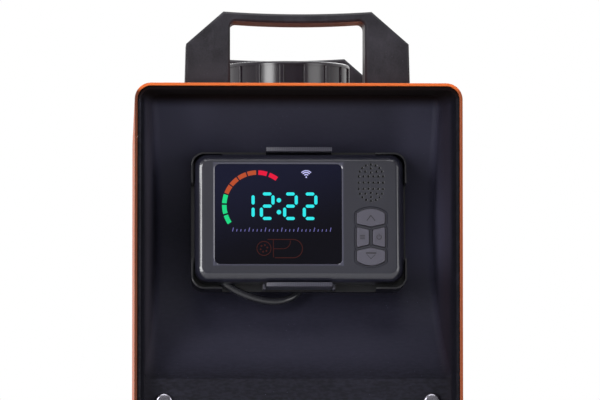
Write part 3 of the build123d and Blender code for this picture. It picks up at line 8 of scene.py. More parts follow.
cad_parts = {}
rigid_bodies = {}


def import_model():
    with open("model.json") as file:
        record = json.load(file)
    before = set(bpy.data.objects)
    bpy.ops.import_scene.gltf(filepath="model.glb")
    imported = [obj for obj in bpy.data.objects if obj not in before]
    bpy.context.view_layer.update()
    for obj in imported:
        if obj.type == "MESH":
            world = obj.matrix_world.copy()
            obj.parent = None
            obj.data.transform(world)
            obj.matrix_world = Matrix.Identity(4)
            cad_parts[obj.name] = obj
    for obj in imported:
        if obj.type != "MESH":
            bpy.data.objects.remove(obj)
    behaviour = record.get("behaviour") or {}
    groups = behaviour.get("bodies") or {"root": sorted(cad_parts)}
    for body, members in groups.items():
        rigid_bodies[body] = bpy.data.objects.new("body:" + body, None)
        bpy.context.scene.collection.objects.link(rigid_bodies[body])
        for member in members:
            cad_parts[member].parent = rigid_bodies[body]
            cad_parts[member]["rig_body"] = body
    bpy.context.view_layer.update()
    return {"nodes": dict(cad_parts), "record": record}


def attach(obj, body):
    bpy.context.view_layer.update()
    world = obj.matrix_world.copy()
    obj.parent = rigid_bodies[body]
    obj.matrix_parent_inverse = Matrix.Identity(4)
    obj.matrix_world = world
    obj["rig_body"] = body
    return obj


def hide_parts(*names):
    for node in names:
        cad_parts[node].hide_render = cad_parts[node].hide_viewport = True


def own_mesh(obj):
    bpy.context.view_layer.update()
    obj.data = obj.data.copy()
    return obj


# A portable diesel air heater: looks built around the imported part. Metres; +Z up, the front faces -Y.

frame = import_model()
nodes = frame["nodes"]
mm = 0.001

# ---- places and sizes taken from the part, in millimetres unless they are placed ----
front_edge = -200.0
shell_top = 415.0

controller_lean = math.radians(5.0)
controller_at = Vector((1.2, -173.0, 342.4)) * mm
controller_out = Vector((0, -math.cos(controller_lean), math.sin(controller_lean)))
controller_up = Vector((0, math.sin(controller_lean), math.cos(controller_lean)))
controller_matrix = Matrix.Translation(controller_at) @ Matrix((
    (1, 0, 0, 0),
    (0, controller_up.y, controller_out.y, 0),
    (0, controller_up.z, controller_out.z, 0),
    (0, 0, 0, 1)))


def on_controller(x, y, height):
    """A place in the controller's own frame: x to the right, y up its face, height out of it."""
    return controller_matrix @ Vector((x * mm, y * mm, height * mm))


controller_half_width, controller_half_height = 58.0, 35.7
controller_corner = 7.7
controller_face = 1.0
window_face = 0.5
key_top = 1.8
window_x, window_y = -11.6, 1.8
window_half_width, window_half_height = 35.2, 27.95
window_at = on_controller(window_x, window_y, controller_face)
speaker_at = on_controller(39.7, 19.3, controller_face)
speaker_radius = 12.0
key_pad_x, key_pad_y = 39.55, -11.15

lead_route = [(-45.0, -163.6, 309.6), (-36.5, -163.2, 303.4), (-26.0, -162.0, 298.6), (-14.5, -160.0, 295.8),
              (-4.0, -157.0, 297.2), (3.0, -152.0, 302.4), (6.4, -146.8, 310.2), (7.0, -141.5, 317.0),
              (7.0, -133.8, 317.0)]
lead_diameter = 4.2


# ---- materials ----
class Value:
    """A socket in a material's nodes, with arithmetic."""

    def __init__(self, look, socket):
        self.look = look
        self.socket = socket

    def maths(self, operation, *terms):
        return self.look.node("ShaderNodeMath", {"operation": operation}, *terms)

    def __add__(self, other):
        return self.maths("ADD", self, other)

    def __sub__(self, other):
        return self.maths("SUBTRACT", self, other)

    def __mul__(self, other):
        return self.maths("MULTIPLY", self, other)

    def __rsub__(self, other):
        return self.maths("SUBTRACT", other, self)

    __radd__ = __add__
    __rmul__ = __mul__

    def size(self):
        return self.maths("ABSOLUTE", self)

    def or_larger(self, other):
        return self.maths("MAXIMUM", self, other)


class Look:
    """A material: a Principled shader with its nodes."""

    def __init__(self, name, **constants):
        self.material = bpy.data.materials.new(name)
        self.material.use_nodes = True
        self.tree = self.material.node_tree
        self.shader = self.tree.nodes["Principled BSDF"]
        for socket, value in constants.items():
            self.put(socket.replace("_", " "), value)
        self.place = self.node("ShaderNodeTexCoord", output="Object")

    def link(self, value, socket):
        if isinstance(value, Value):
            self.tree.links.new(value.socket, socket)
        else:
            socket.default_value = value

    def put(self, socket, value):
        if isinstance(value, tuple):
            value = (*value, 1.0)
        self.link(value, self.shader.inputs[socket])

    def node(self, kind, settings=None, *values, output=0, **named):
        """Adds a node: its settings first, then its sockets in order or by name."""
        made = self.tree.nodes.new(kind)
        for key, value in (settings or {}).items():
            setattr(made, key, value)
        for socket, value in zip(made.inputs, values):
            self.link(value, socket)
        for key, value in named.items():
            self.link(value, made.inputs[key])
        return Value(self, made.outputs[output])

    def mix(self, factor, one, other):
        """Blends two colours."""
        made = self.tree.nodes.new("ShaderNodeMix")
        made.data_type = "RGBA"
        for index, value in ((0, factor), (6, one), (7, other)):
            if isinstance(value, tuple):
                value = (*value, 1.0)
            self.link(value, made.inputs[index])
        return Value(self, made.outputs[2])

    def shaded(self, tone, factor):
        """A linked colour made lighter or darker."""
        return self.node("ShaderNodeVectorMath", {"operation": "SCALE"}, tone, Scale=factor)

    def stretched(self, scale):
        return self.node("ShaderNodeMapping", {}, Vector=self.place, Scale=scale) if scale else self.place

    def noise(self, scale, detail=2.0, rough=0.5, stretch=None):
        return self.node("ShaderNodeTexNoise", {}, Vector=self.stretched(stretch), Scale=scale, Detail=detail,
                         Roughness=rough)

    def cells(self, scale, stretch=None):
        return self.node("ShaderNodeTexVoronoi", {}, Vector=self.stretched(stretch), Scale=scale,
                         output="Distance")

    def bands(self, direction, scale, distortion):
        return self.node("ShaderNodeTexWave", {"wave_type": "BANDS", "bands_direction": direction},
                         Vector=self.place, Scale=scale, Distortion=distortion)

    def step(self, value, start, full):
        """0 up to start, 1 past full, smooth between them; full may be the lower one."""
        return self.node("ShaderNodeMapRange", {"interpolation_type": "SMOOTHSTEP"},
                         value, start, full, 0.0, 1.0)

    def step_mm(self, value, start, full):
        """The same, over a length in millimetres."""
        return self.step(value, start * mm, full * mm)

    def axis(self, name):
        return self.node("ShaderNodeSeparateXYZ", {}, self.place, output=name)

    def away_from(self, place):
        return self.node("ShaderNodeVectorMath", {"operation": "SUBTRACT"}, self.place, tuple(place))

    def length(self, vector):
        return self.node("ShaderNodeVectorMath", {"operation": "LENGTH"}, vector, output="Value")

    def along(self, vector, direction):
        return self.node("ShaderNodeVectorMath", {"operation": "DOT_PRODUCT"}, vector, tuple(direction),
                         output="Value")

    def bump(self, height, depth, strength):
        """Raises the surface by a height pattern; the depth is in millimetres."""
        raised = self.node("ShaderNodeBump", {}, Strength=strength, Distance=depth * mm, Height=height)
        self.put("Normal", raised)


def shade(colour, factor):
    return tuple(min(1.0, channel * factor) for channel in colour)


def moulding(name, colour, roughness, grain=2200.0, depth=0.03, specular=0.5, streak=0.12):
    """Moulded plastic: a fine grain, slow shade changes, faint rubbed patches and a few dust specks."""
    look = Look(name, Specular_IOR_Level=specular)
    slow = look.noise(14.0, 3.0)
    rubbed = look.step(look.noise(55.0, 5.0, 0.65), 0.56, 0.74)
    specks = look.step(look.cells(420.0), 0.07, 0.03)
    tone = look.mix(slow, shade(colour, 0.86), shade(colour, 1.16))
    tone = look.mix(rubbed * streak, tone, shade(colour, 2.2))
    look.put("Base Color", look.mix(specks * 0.10, tone, shade(colour, 4.0)))
    look.put("Roughness", roughness - 0.04 + slow * 0.06 + rubbed * 0.07)
    look.bump(look.cells(grain) * 0.6 + look.noise(grain * 1.7) * 0.4, depth, 0.6)
    return look.material


def controller_case(name, colour):
    """Satin moulded case: bright specks and short marks, a painted highlight along the window's rim, and
    painted shade on the walls of the speaker's holes.
    """
    look = Look(name, Specular_IOR_Level=0.30, Coat_Roughness=0.09)
    slow = look.noise(22.0, 3.0)
    fine_marks = look.step(look.noise(160.0, 4.0, 0.6, (0.22, 1.0, 1.0)), 0.62, 0.78)
    specks = look.step(look.cells(520.0), 0.10, 0.04) * look.step(look.noise(60.0), 0.45, 0.62)
    from_speaker = look.away_from(speaker_at)
    in_circle = look.step_mm(look.length(from_speaker), speaker_radius + 0.5, speaker_radius - 0.5)
    below_face = look.step_mm(look.along(from_speaker, controller_out), -0.02, -0.09)
    hole = in_circle * below_face
    from_window = look.away_from(window_at)
    side = look.node("ShaderNodeSeparateXYZ", {}, from_window, output="X")
    up = look.along(from_window, controller_up)
    beyond = (side.size() - window_half_width * mm).or_larger(up.size() - window_half_height * mm)
    rim_highlight = look.step_mm(beyond, 1.1, 0.6)
    tone = look.mix(slow, shade(colour, 0.82), shade(colour, 1.22))
    tone = look.mix(fine_marks * 0.16, tone, shade(colour, 3.0))
    tone = look.mix(specks * 0.30, tone, shade(colour, 7.0))
    # painted highlight along the window's rim
    tone = look.mix(rim_highlight * 0.8, tone, shade(colour, 3.4))
    # painted shade: the walls of the speaker's holes are near black
    look.put("Base Color", look.mix(hole, tone, (0.0008, 0.0008, 0.0011)))
    look.put("Coat Weight", 0.85 - hole * 0.85)
    look.put("Roughness", 0.28 + slow * 0.05 + fine_marks * 0.10 + hole * 0.5)
    look.bump(look.cells(3200.0) * 0.6 + look.noise(4800.0) * 0.4, 0.02, 0.5)
    return look.material


def holder_clip(name, colour):
    """The holder's gloss black, with rubbed, hatched grip tabs in the middle."""
    look = Look(name, Specular_IOR_Level=0.42)
    slow = look.noise(40.0, 3.0)
    from_middle = (look.axis("X") - controller_at.x).size()
    tab = look.step_mm(from_middle, 20.5, 19.5) * look.step_mm(look.axis("Y"), -160.0, -164.0)
    hatch = look.bands("X", 320.0, 1.2)
    tone = look.mix(slow, shade(colour, 0.8), shade(colour, 1.25))
    rubbed = look.mix(hatch, shade(colour, 6.0), shade(colour, 11.0))
    look.put("Base Color", look.mix(tab, tone, rubbed))
    look.put("Roughness", 0.26 + slow * 0.06 + tab * 0.10)
    look.bump(look.cells(2600.0) * 0.6 + hatch * tab * 0.4, 0.03, 0.6)
    return look.material


def handle_casting(name, colour):
    """Handle plastic: dull brushed patches, pale rubs and pitted specks."""
    look = Look(name, Specular_IOR_Level=0.28)
    slow = look.step(look.noise(48.0, 4.0, 0.6), 0.30, 0.70)
    rubs = look.step(look.noise(170.0, 6.0, 0.7, (1.0, 1.0, 0.35)), 0.50, 0.75)
    dark = look.step(look.noise(240.0, 5.0, 0.65), 0.50, 0.70)
    grit = look.step(look.noise(900.0, 3.0, 0.6), 0.35, 0.65)
    specks = look.step(look.cells(420.0), 0.14, 0.06) * look.step(look.noise(45.0), 0.45, 0.6)
    tone = look.mix(slow, shade(colour, 0.55), shade(colour, 1.40))
    tone = look.mix(rubs * 0.45, tone, shade(colour, 2.6))
    tone = look.mix(dark * 0.35, tone, shade(colour, 0.35))
    tone = look.mix(grit * 0.30, tone, shade(colour, 1.9))
    look.put("Base Color", look.mix(specks * 0.30, tone, shade(colour, 6.0)))
    look.put("Roughness", 0.38 + slow * 0.10 + rubs * 0.08)
    look.bump(look.cells(1500.0) * 0.5 + look.noise(900.0, 4.0, 0.6) * 0.5, 0.05, 0.6)
    return look.material


def recessed_moulding(name, colour):
    """The front's moulding, with painted light and shade: dark on its flat front, paler in the recess, paler
    still at the recess's top, upper left and right, painted shade on its side walls and under its rim.
    """
    look = Look(name, Specular_IOR_Level=0.12)
    x, y, z = look.axis("X"), look.axis("Y"), look.axis("Z")
    deep = look.step_mm(y, front_edge + 8.0, front_edge + 32.0)
    upper = look.step_mm(z, 335.0, 385.0)
    right_side = look.step_mm(x, 50.0, 66.0) * look.step_mm(z, 300.0, 330.0)
    upper_left = look.step_mm(x, -35.0, -66.0) * upper
    side_wall = look.step_mm(x.size(), 76.0, 86.0)
    under_rim = look.step_mm(z, shell_top - 11.5, shell_top - 4.5)
    slow = look.noise(12.0, 3.0)
    brushed = look.noise(70.0, 5.0, 0.7, (0.25, 1.0, 1.0))
    grit = look.noise(750.0, 4.0, 0.65, (0.4, 1.0, 1.0))
    specks = look.step(look.cells(300.0), 0.09, 0.04) * look.step(look.noise(30.0), 0.48, 0.62)
    # painted light and shade: the flat front is darkened and the recess lightened against its shade
    tone = look.mix(deep, shade(colour, 0.18), shade(colour, 1.55))
    # painted light: paler still towards the recess's top
    tone = look.mix(upper * deep, tone, shade(colour, 1.95))
    tone = look.mix(slow, look.shaded(tone, 0.88), look.shaded(tone, 1.12))
    tone = look.mix(look.step(brushed, 0.52, 0.76) * 0.30, tone, shade(colour, 2.4))
    tone = look.mix(look.step(grit, 0.36, 0.64) * 0.20, look.shaded(tone, 0.90), shade(colour, 2.5))
    tone = look.mix(specks * 0.45, tone, shade(colour, 8.0))
    # painted light: paler on the right beside the controller, where its shade falls
    tone = look.mix(right_side * (0.8 - upper * 0.6) * deep, tone, shade(colour, 5.2))
    # painted light: paler at the upper left, where the left wall's shadow falls
    tone = look.mix(upper_left * deep * 0.8, tone, shade(colour, 3.6))
    # painted shade on the side walls: the left wall lighter, the right wall darker and reddish with a painted
    # reflection of the orange
    wall = look.mix(look.step_mm(x, -20.0, 20.0), (0.050, 0.043, 0.053), (0.0135, 0.0066, 0.0085))
    tone = look.mix(side_wall * deep * 0.8, tone, wall)
    # painted shade under the rim: near black, with a painted reddish reflection of the orange
    look.put("Base Color", look.mix(under_rim, tone, (0.0030, 0.0004, 0.0005)))
    look.put("Roughness", 0.48 + slow * 0.06 + brushed * 0.08 + under_rim * 0.35)
    look.bump(look.cells(1900.0) * 0.6 + look.noise(3200.0) * 0.4, 0.03, 0.6)
    return look.material


def powder_coat(name, colour, roughness, painted_shade_front_edge=False):
    """Powder coat: orange-peel skin, slight mottling and small scuffs, and, where asked, painted shade on the
    front cut edge below its top, darker on the left.
    """
    look = Look(name, Coat_Weight=0.06, Coat_Roughness=0.3, Specular_IOR_Level=0.22)
    slow = look.noise(9.0, 3.0)
    scuffs = look.step(look.noise(90.0, 6.0, 0.7, (1.0, 1.0, 0.25)), 0.66, 0.78)
    tone = look.mix(slow, shade(colour, 0.93), shade(colour, 1.07))
    tone = look.mix(scuffs * 0.25, tone, shade(colour, 0.72))
    if painted_shade_front_edge:
        # painted shade on the front cut edge's sides: darker on the left than on the right
        cut_edge = look.step_mm(look.axis("Y"), front_edge + 0.9, front_edge + 0.2)
        below_top = look.step_mm(look.axis("Z"), shell_top - 2.5, shell_top - 5.5)
        painted_edge_shade = look.mix(look.step_mm(look.axis("X"), -20.0, 20.0), shade(colour, 0.16), shade(colour, 0.38))
        tone = look.mix(cut_edge * below_top, tone, painted_edge_shade)
    look.put("Base Color", tone)
    look.put("Roughness", roughness + slow * 0.06 + scuffs * 0.14)
    look.bump(look.noise(620.0, 3.0, 0.45) * 0.8 + look.noise(2600.0, 1.0) * 0.2, 0.06, 0.5)
    return look.material


def metal(name, colour, roughness, stretch=None, tint=None, scale=500.0):
    """Bright metal with a fine grain, along one direction where it is stretched."""
    look = Look(name, Metallic=1.0)
    grain = look.noise(scale, 4.0, 0.6, stretch)
    patches = look.noise(70.0, 4.0)
    tone = look.mix(patches, shade(colour, 0.82), colour)
    if tint:
        tone = look.mix(look.step(look.noise(38.0, 3.0), 0.42, 0.66) * 0.5, tone, tint)
    look.put("Base Color", look.mix(grain * 0.35, tone, shade(colour, 0.6)))
    look.put("Roughness", roughness + grain * 0.14 + patches * 0.06)
    look.bump(grain, 0.02, 0.5)
    return look.material


def casting(name, colour):
    """Sand-textured cast alloy with darker hollows."""
    look = Look(name, Metallic=0.85)
    lumps = look.noise(320.0, 5.0, 0.6)
    stains = look.step(look.noise(26.0, 4.0), 0.5, 0.75)
    tone = look.mix(lumps, shade(colour, 0.6), colour)
    look.put("Base Color", look.mix(stains * 0.35, tone, shade(colour, 0.45)))
    look.put("Roughness", 0.42 + lumps * 0.22)
    look.bump(lumps, 0.22, 0.6)
    return look.material


def soft_rubber(name, colour, roughness=0.62, sheen=0.2):
    """Rubber or cable skin, with fine bloom and marks."""
    look = Look(name, Sheen_Weight=sheen, Sheen_Roughness=0.5)
    bloom = look.noise(60.0, 5.0, 0.6)
    marks = look.step(look.noise(240.0, 3.0), 0.6, 0.72)
    tone = look.mix(bloom * 0.6, colour, shade(colour, 2.1))
    look.put("Base Color", look.mix(marks * 0.2, tone, shade(colour, 3.0)))
    look.put("Roughness", roughness + bloom * 0.12)
    look.bump(look.noise(1500.0, 3.0), 0.03, 0.5)
    return look.material


def nylon_hose(name, colour):
    """Translucent nylon fuel line, clouded in places."""
    look = Look(name, Transmission_Weight=0.25, Coat_Weight=0.2, IOR=1.5)
    cloud = look.noise(85.0, 4.0)
    look.put("Base Color", look.mix(cloud, shade(colour, 0.7), shade(colour, 1.25)))
    look.put("Roughness", 0.26 + cloud * 0.12)
    look.bump(look.noise(900.0), 0.02, 0.4)
    return look.material


def blown_plastic(name, colour):
    """Blow-moulded tank plastic: a soft waxy skin with flow marks."""
    look = Look(name)
    flow = look.noise(16.0, 4.0, 0.6, (1.0, 1.0, 0.35))
    look.put("Base Color", look.mix(flow, shade(colour, 0.8), shade(colour, 1.7)))
    look.put("Roughness", 0.40 + flow * 0.16)
    look.bump(look.noise(260.0, 4.0, 0.55), 0.12, 0.45)
    return look.material


def circuit_board(name, colour):
    """Solder mask over fine straight tracks, with the speaker's black cone."""
    look = Look(name, Coat_Weight=0.3)
    tracks = look.step(look.cells(520.0, (1.0, 0.2, 0.35)), 0.35, 0.55)
    pads = look.step(look.cells(260.0), 0.14, 0.10)
    from_speaker = look.length(look.away_from(speaker_at))
    cone = look.step_mm(from_speaker, speaker_radius + 1.0, speaker_radius)
    tone = look.mix(tracks * 0.55, shade(colour, 0.75), shade(colour, 1.5))
    tone = look.mix(pads * 0.7, tone, (0.55, 0.52, 0.42))
    look.put("Base Color", look.mix(cone, tone, (0.0012, 0.0012, 0.0014)))
    look.put("Metallic", pads * (1.0 - cone) * 0.8)
    look.put("Roughness", 0.34 + tracks * 0.12)
    look.bump(tracks, 0.04, 0.6)
    return look.material


def fibre_gasket(name, colour):
    """Pressed fibre: short strands and clumps."""
    look = Look(name)
    fibres = look.noise(1300.0, 5.0, 0.7, (0.25, 1.0, 1.0))
    clumps = look.noise(150.0, 3.0)
    look.put("Base Color", look.mix(fibres, shade(colour, 0.6), shade(colour, 2.4)))
    look.put("Roughness", 0.78 + clumps * 0.14)
    look.bump(fibres * 0.7 + clumps * 0.3, 0.12, 0.7)
    return look.material


def duct_sleeve(name, colour):
    """Foil-faced sleeve with a wound rib."""
    look = Look(name)
    turns = look.bands("Y", 80.0, 0.4)
    folds = look.noise(180.0, 4.0)
    look.put("Base Color", look.mix(turns, shade(colour, 0.7), shade(colour, 1.6)))
    look.put("Roughness", 0.46 + folds * 0.2)
    look.bump(turns * 0.7 + folds * 0.3, 0.6, 0.7)
    return look.material


def tinted_window(name):
    """A dark panel behind a glossy cover, with a painted reflection: navy at the upper left, nearly black at
    the lower right.
    """
    look = Look(name, Coat_Weight=0.08, Coat_Roughness=0.04, Specular_IOR_Level=0.10)
    across = look.axis("X") * 9.0 + 0.44
    up = (look.axis("Z") - controller_at.z) * 16.0 + 0.5
    # painted reflection: a slanting gradient across the cover
    painted_reflection = look.step(up * 0.9 - across * 0.5, -0.02, 0.75)
    haze = look.noise(60.0, 3.0)
    tone = look.mix(painted_reflection, (0.0008, 0.0006, 0.0026), (0.0050, 0.0056, 0.0185))
    look.put("Base Color", look.mix(haze * 0.2, tone, (0.0040, 0.0038, 0.0085)))
    look.put("Roughness", 0.10 + haze * 0.05)
    look.bump(look.noise(120.0), 0.01, 0.3)
    return look.material


def lit(name, colour, strength=1.0):
    """A lit part of the display, a little paler in places where its lamp sits."""
    look = Look(name, Base_Color=shade(colour, 0.02), Roughness=0.5, Specular_IOR_Level=0.05,
                Emission_Strength=strength)
    look.put("Emission Color", look.mix(look.noise(900.0) * 0.12, colour, shade(colour, 1.6)))
    return look.material


orange = powder_coat("orange_powder_coat", (0.54, 0.108, 0.020), 0.44, painted_shade_front_edge=True)
black_coat = powder_coat("black_powder_coat", (0.030, 0.030, 0.033), 0.42)
zinc = metal("bright_zinc", (0.74, 0.75, 0.78), 0.24, tint=(0.62, 0.60, 0.46), scale=900.0)
screw_steel = metal("polished_screw_steel", (0.34, 0.33, 0.38), 0.12, scale=1400.0)
ground_steel = metal("ground_steel", (0.52, 0.52, 0.53), 0.30, (1.0, 1.0, 0.08))
brass = metal("plain_brass", (0.75, 0.58, 0.28), 0.28, (1.0, 1.0, 0.1))
alloy = casting("cast_alloy", (0.60, 0.61, 0.62))
front_black = recessed_moulding("front_moulding_black", (0.0125, 0.0122, 0.0205))
rear_black = moulding("rear_moulding_black", (0.014, 0.014, 0.021), 0.50, 1500.0, 0.04, 0.3)
handle_grey = handle_casting("handle_charcoal", (0.0138, 0.0124, 0.0170))
cap_grey = moulding("cap_charcoal", (0.015, 0.013, 0.019), 0.20, 2600.0, 0.01, 0.5, 0.06)
controller_grey = controller_case("controller_grey", (0.0125, 0.0125, 0.0205))
holder_grey = holder_clip("holder_grey", (0.0042, 0.0041, 0.0058))
key_grey = moulding("key_grey", (0.061, 0.058, 0.077), 0.50, 3600.0, 0.02, 0.35, 0.05)
symbol_dark = moulding("key_symbol", (0.014, 0.013, 0.016), 0.6, 3000.0, 0.01, 0.3)
window_dark = tinted_window("window_dark")
board_green = circuit_board("board_green", (0.02, 0.09, 0.04))
unit_black = moulding("glass_filled_black", (0.020, 0.020, 0.020), 0.56, 900.0, 0.08, 0.4)
vent_black = moulding("vent_black", (0.020, 0.020, 0.023), 0.42, 1900.0, 0.03, 0.45)
tank_black = blown_plastic("tank_black", (0.015, 0.015, 0.015))
foot_rubber = soft_rubber("foot_rubber", (0.016, 0.016, 0.016))
cable_black = soft_rubber("cable_black", (0.012, 0.012, 0.015), 0.16, 0.0)
gasket_grey = fibre_gasket("gasket_fibre", (0.06, 0.05, 0.05))
sleeve_black = duct_sleeve("duct_sleeve", (0.03, 0.03, 0.03))
hose_green = nylon_hose("fuel_line_green", (0.10, 0.35, 0.10))
filter_milky = nylon_hose("filter_milky", (0.80, 0.80, 0.76))

finishes = [
    (orange, "shell"),
    (black_coat, "base_plate tank_shelf"),
    (front_black, "fascia"),
    (rear_black, "rear_cover"),
    (handle_grey, "handle_front handle_rear"),
    (cap_grey, "fuel_cap"),
    (screw_steel, "case_screws"),
    (zinc, "foot_screws small_screws"),
    (foot_rubber, "feet lead_grommet cap_seal pump_holder"),
    (controller_grey, "controller_front controller_back"),
    (holder_grey, "controller_holder"),
    (window_dark, "display_window"),
    (board_green, "controller_board"),
    (key_grey, "key_up key_down key_left key_right"),
    (cable_black, "controller_lead harness power_lead"),
    (tank_black, "fuel_tank"),
    (filter_milky, "fuel_filter"),
    (hose_green, "tank_hose filter_hose pump_hose"),
    (unit_black, "power_socket lead_plug pickup_pipe control_unit intake_stub"),
    (unit_black, "unit_lower_shell unit_upper_shell air_fan"),
    (ground_steel, "pump_body pump_spring burner glow_plug fan_motor motor_shaft exhaust_stub"),
    (brass, "pump_plunger heat_sensor"),
    (alloy, "heat_exchanger blower_case blower_wheel"),
    (gasket_grey, "port_gasket"),
    (sleeve_black, "outlet_duct"),
    (vent_black, "vent_ring vent_barrel vent_blade_1 vent_blade_2 vent_blade_3 vent_blade_4"),
]
for material, names in finishes:
    for name in names.split():
        mesh = nodes[name].data
        mesh.materials.clear()
        mesh.materials.append(material)


# ---- pieces ----
def piece(name, shape, material, body, slot, *replaced):
    """Makes an object from a bmesh that is already in its place."""
    mesh = bpy.data.meshes.new(name)
    shape.to_mesh(mesh)
    shape.free()
    mesh.materials.append(material)
    made = bpy.data.objects.new(name, mesh)
    bpy.context.scene.collection.objects.link(made)
    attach(made, body)
    if replaced:
        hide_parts(*replaced)
    return made


def slot_of(node):
    return next(part["material_slot"] for part in frame["record"]["subparts"] if part["node"] == node)


def merged_copy(node, whole_flats=True):
    """A CAD node's shape with its loose triangles joined up."""
    shape = bmesh.new()
    shape.from_mesh(nodes[node].data)
    bmesh.ops.remove_doubles(shape, verts=shape.verts, dist=0.002 * mm)
    if whole_flats:
        bmesh.ops.dissolve_limit(shape, angle_limit=math.radians(0.4), verts=shape.verts, edges=shape.edges,
                                 delimit={"NORMAL"})
    bmesh.ops.recalc_face_normals(shape, faces=shape.faces)
    return shape


def is_large(face):
    return face.calc_area() > 60 * mm * mm


def stand_in(node, shape, material, angle=30.0, stays_flat=is_large):
    """Smooths a shape made from a CAD node, but for its flats, and lets it stand for that node."""
    for face in shape.faces:
        face.smooth = not stays_flat(face)
    for edge in shape.edges:
        edge.smooth = (len(edge.link_faces) == 2 and edge.calc_face_angle() < math.radians(angle)
                       and all(face.smooth for face in edge.link_faces))
    return piece(node + "_dressed", shape, material, nodes[node]["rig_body"], slot_of(node), node)


def dress_rounded(node, material, width, ends_from=0.0):
    """Rounds a CAD node's sharp edges, or only those near its front and rear ends; in millimetres."""
    shape = merged_copy(node)
    edges = [edge for edge in shape.edges
             if len(edge.link_faces) == 2 and edge.calc_face_angle() > math.radians(40.0)
             and all(abs(vert.co.y) >= ends_from * mm for vert in edge.verts)]
    bmesh.ops.bevel(shape, geom=edges, offset=width * mm, affect="EDGES", segments=2, profile=0.5,
                    material=-1, clamp_overlap=True)
    stand_in(node, shape, material)


def plates(name, outlines, height, thickness, material, body, slot):
    """Flat plates on the controller's face, from outlines in its own millimetres."""
    shape = bmesh.new()
    for outline in outlines:
        face = shape.faces.new([shape.verts.new(on_controller(x, y, height)) for x, y in outline])
        pushed = bmesh.ops.extrude_face_region(shape, geom=[face])["geom"]
        top = [part for part in pushed if isinstance(part, bmesh.types.BMVert)]
        bmesh.ops.translate(shape, verts=top, vec=controller_out * thickness * mm)
    bmesh.ops.recalc_face_normals(shape, faces=shape.faces)
    return piece(name, shape, material, body, slot)


def lozenge(x, y, width, height):
    """A bar with pointed, blunted ends, as a lit segment has."""
    w, h = width / 2, height / 2
    blunt, taper = min(w, h) * 0.35, min(w, h) * 0.75
    side, end = (blunt, w - taper) if width > height else (h - taper, blunt)
    return [(x - w, y - side), (x - end, y - h), (x + end, y - h), (x + w, y - side),
            (x + w, y + side), (x + end, y + h), (x - end, y + h), (x - w, y + side)]


def disc(x, y, radius, count=20):
    return [(x + radius * math.cos(math.tau * step / count), y + radius * math.sin(math.tau * step / count))
            for step in range(count)]


def arc_band(x, y, radius, width, start, end, count=8):
    """A curved band between two angles, in degrees."""
    angles = [math.radians(start + (end - start) * step / count) for step in range(count + 1)]
    outer = [(x + (radius + width / 2) * math.cos(a), y + (radius + width / 2) * math.sin(a)) for a in angles]
    inner = [(x + (radius - width / 2) * math.cos(a), y + (radius - width / 2) * math.sin(a)) for a in angles]
    return outer + inner[::-1]


def line_band(start, end, width):
    """A straight band between two points."""
    run = Vector(end) - Vector(start)
    side = Vector((-run.y, run.x)).normalized() * width / 2
    return [tuple(Vector(start) - side), tuple(Vector(end) - side), tuple(Vector(end) + side),
            tuple(Vector(start) + side)]


def chevron(x, foot_y, tip_y, width):
    """Two bands that meet at a tip."""
    half_width = 2.3
    return [line_band((x + side * half_width, foot_y), (x, tip_y), width) for side in (-1, 1)]


# ---- rounded edges ----
def soften_controller_front():
    """The face runs out to its sides in one wide curve, and the window's rim is drawn in."""
    reach, curve_foot = 5.2, -4.6
    rim_width, rim_drawn_in, rim_margin = 1.2, 0.75, 0.2
    narrower = (window_half_width + rim_drawn_in) / (window_half_width + rim_width)
    shorter = (window_half_height + rim_drawn_in) / (window_half_height + rim_width)
    to_controller = controller_matrix.inverted()
    shape = merged_copy("controller_front", whole_flats=False)
    step_edges = [edge for edge in shape.edges
                  if all(abs((to_controller @ vert.co).z) < 0.01 * mm for vert in edge.verts)
                  and edge.calc_length() < 40 * mm]
    bmesh.ops.subdivide_edges(shape, edges=step_edges, cuts=3)
    for vert in shape.verts:
        place = (to_controller @ vert.co) / mm
        from_x, from_y = place.x - window_x, place.y - window_y
        past_window = max(abs(from_x) - window_half_width, abs(from_y) - window_half_height)
        if place.z > controller_face - 0.01 and past_window < rim_width + rim_margin:
            place.x = window_x + from_x * narrower
            place.y = window_y + from_y * shorter
            vert.co = controller_matrix @ (place * mm)
            continue
        over_x = abs(place.x) - (controller_half_width - controller_corner)
        over_y = abs(place.y) - (controller_half_height - controller_corner)
        outside = math.hypot(max(over_x, 0.0), max(over_y, 0.0)) + min(max(over_x, over_y), 0.0)
        inset = max(controller_corner - outside, 0.0)
        if inset < reach and place.z > curve_foot:
            rise = math.sqrt(1.0 - (1.0 - inset / reach) ** 2)
            place.z = curve_foot + (controller_face - curve_foot) * rise
            vert.co = controller_matrix @ (place * mm)
    bmesh.ops.remove_doubles(shape, verts=shape.verts, dist=0.02 * mm)
    bmesh.ops.dissolve_degenerate(shape, edges=shape.edges, dist=0.01 * mm)
    bmesh.ops.recalc_face_normals(shape, faces=shape.faces)
    stand_in("controller_front", shape, controller_grey, 34.0,
             lambda face: face.normal.dot(controller_out) > 0.9999)


soften_controller_front()
dress_rounded("handle_front", handle_grey, 0.7)
dress_rounded("handle_rear", handle_grey, 0.7)
dress_rounded("controller_holder", holder_grey, 0.2)

spring_coil = stand_in("pump_spring", merged_copy("pump_spring"), ground_steel)
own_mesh(spring_coil)

dress_rounded("shell", orange, 0.4, ends_from=198.5)

# ---- the display ----
film = 0.04


def on_window(name, outlines, material):
    plates(name, outlines, window_face, film, material, "case", "window")


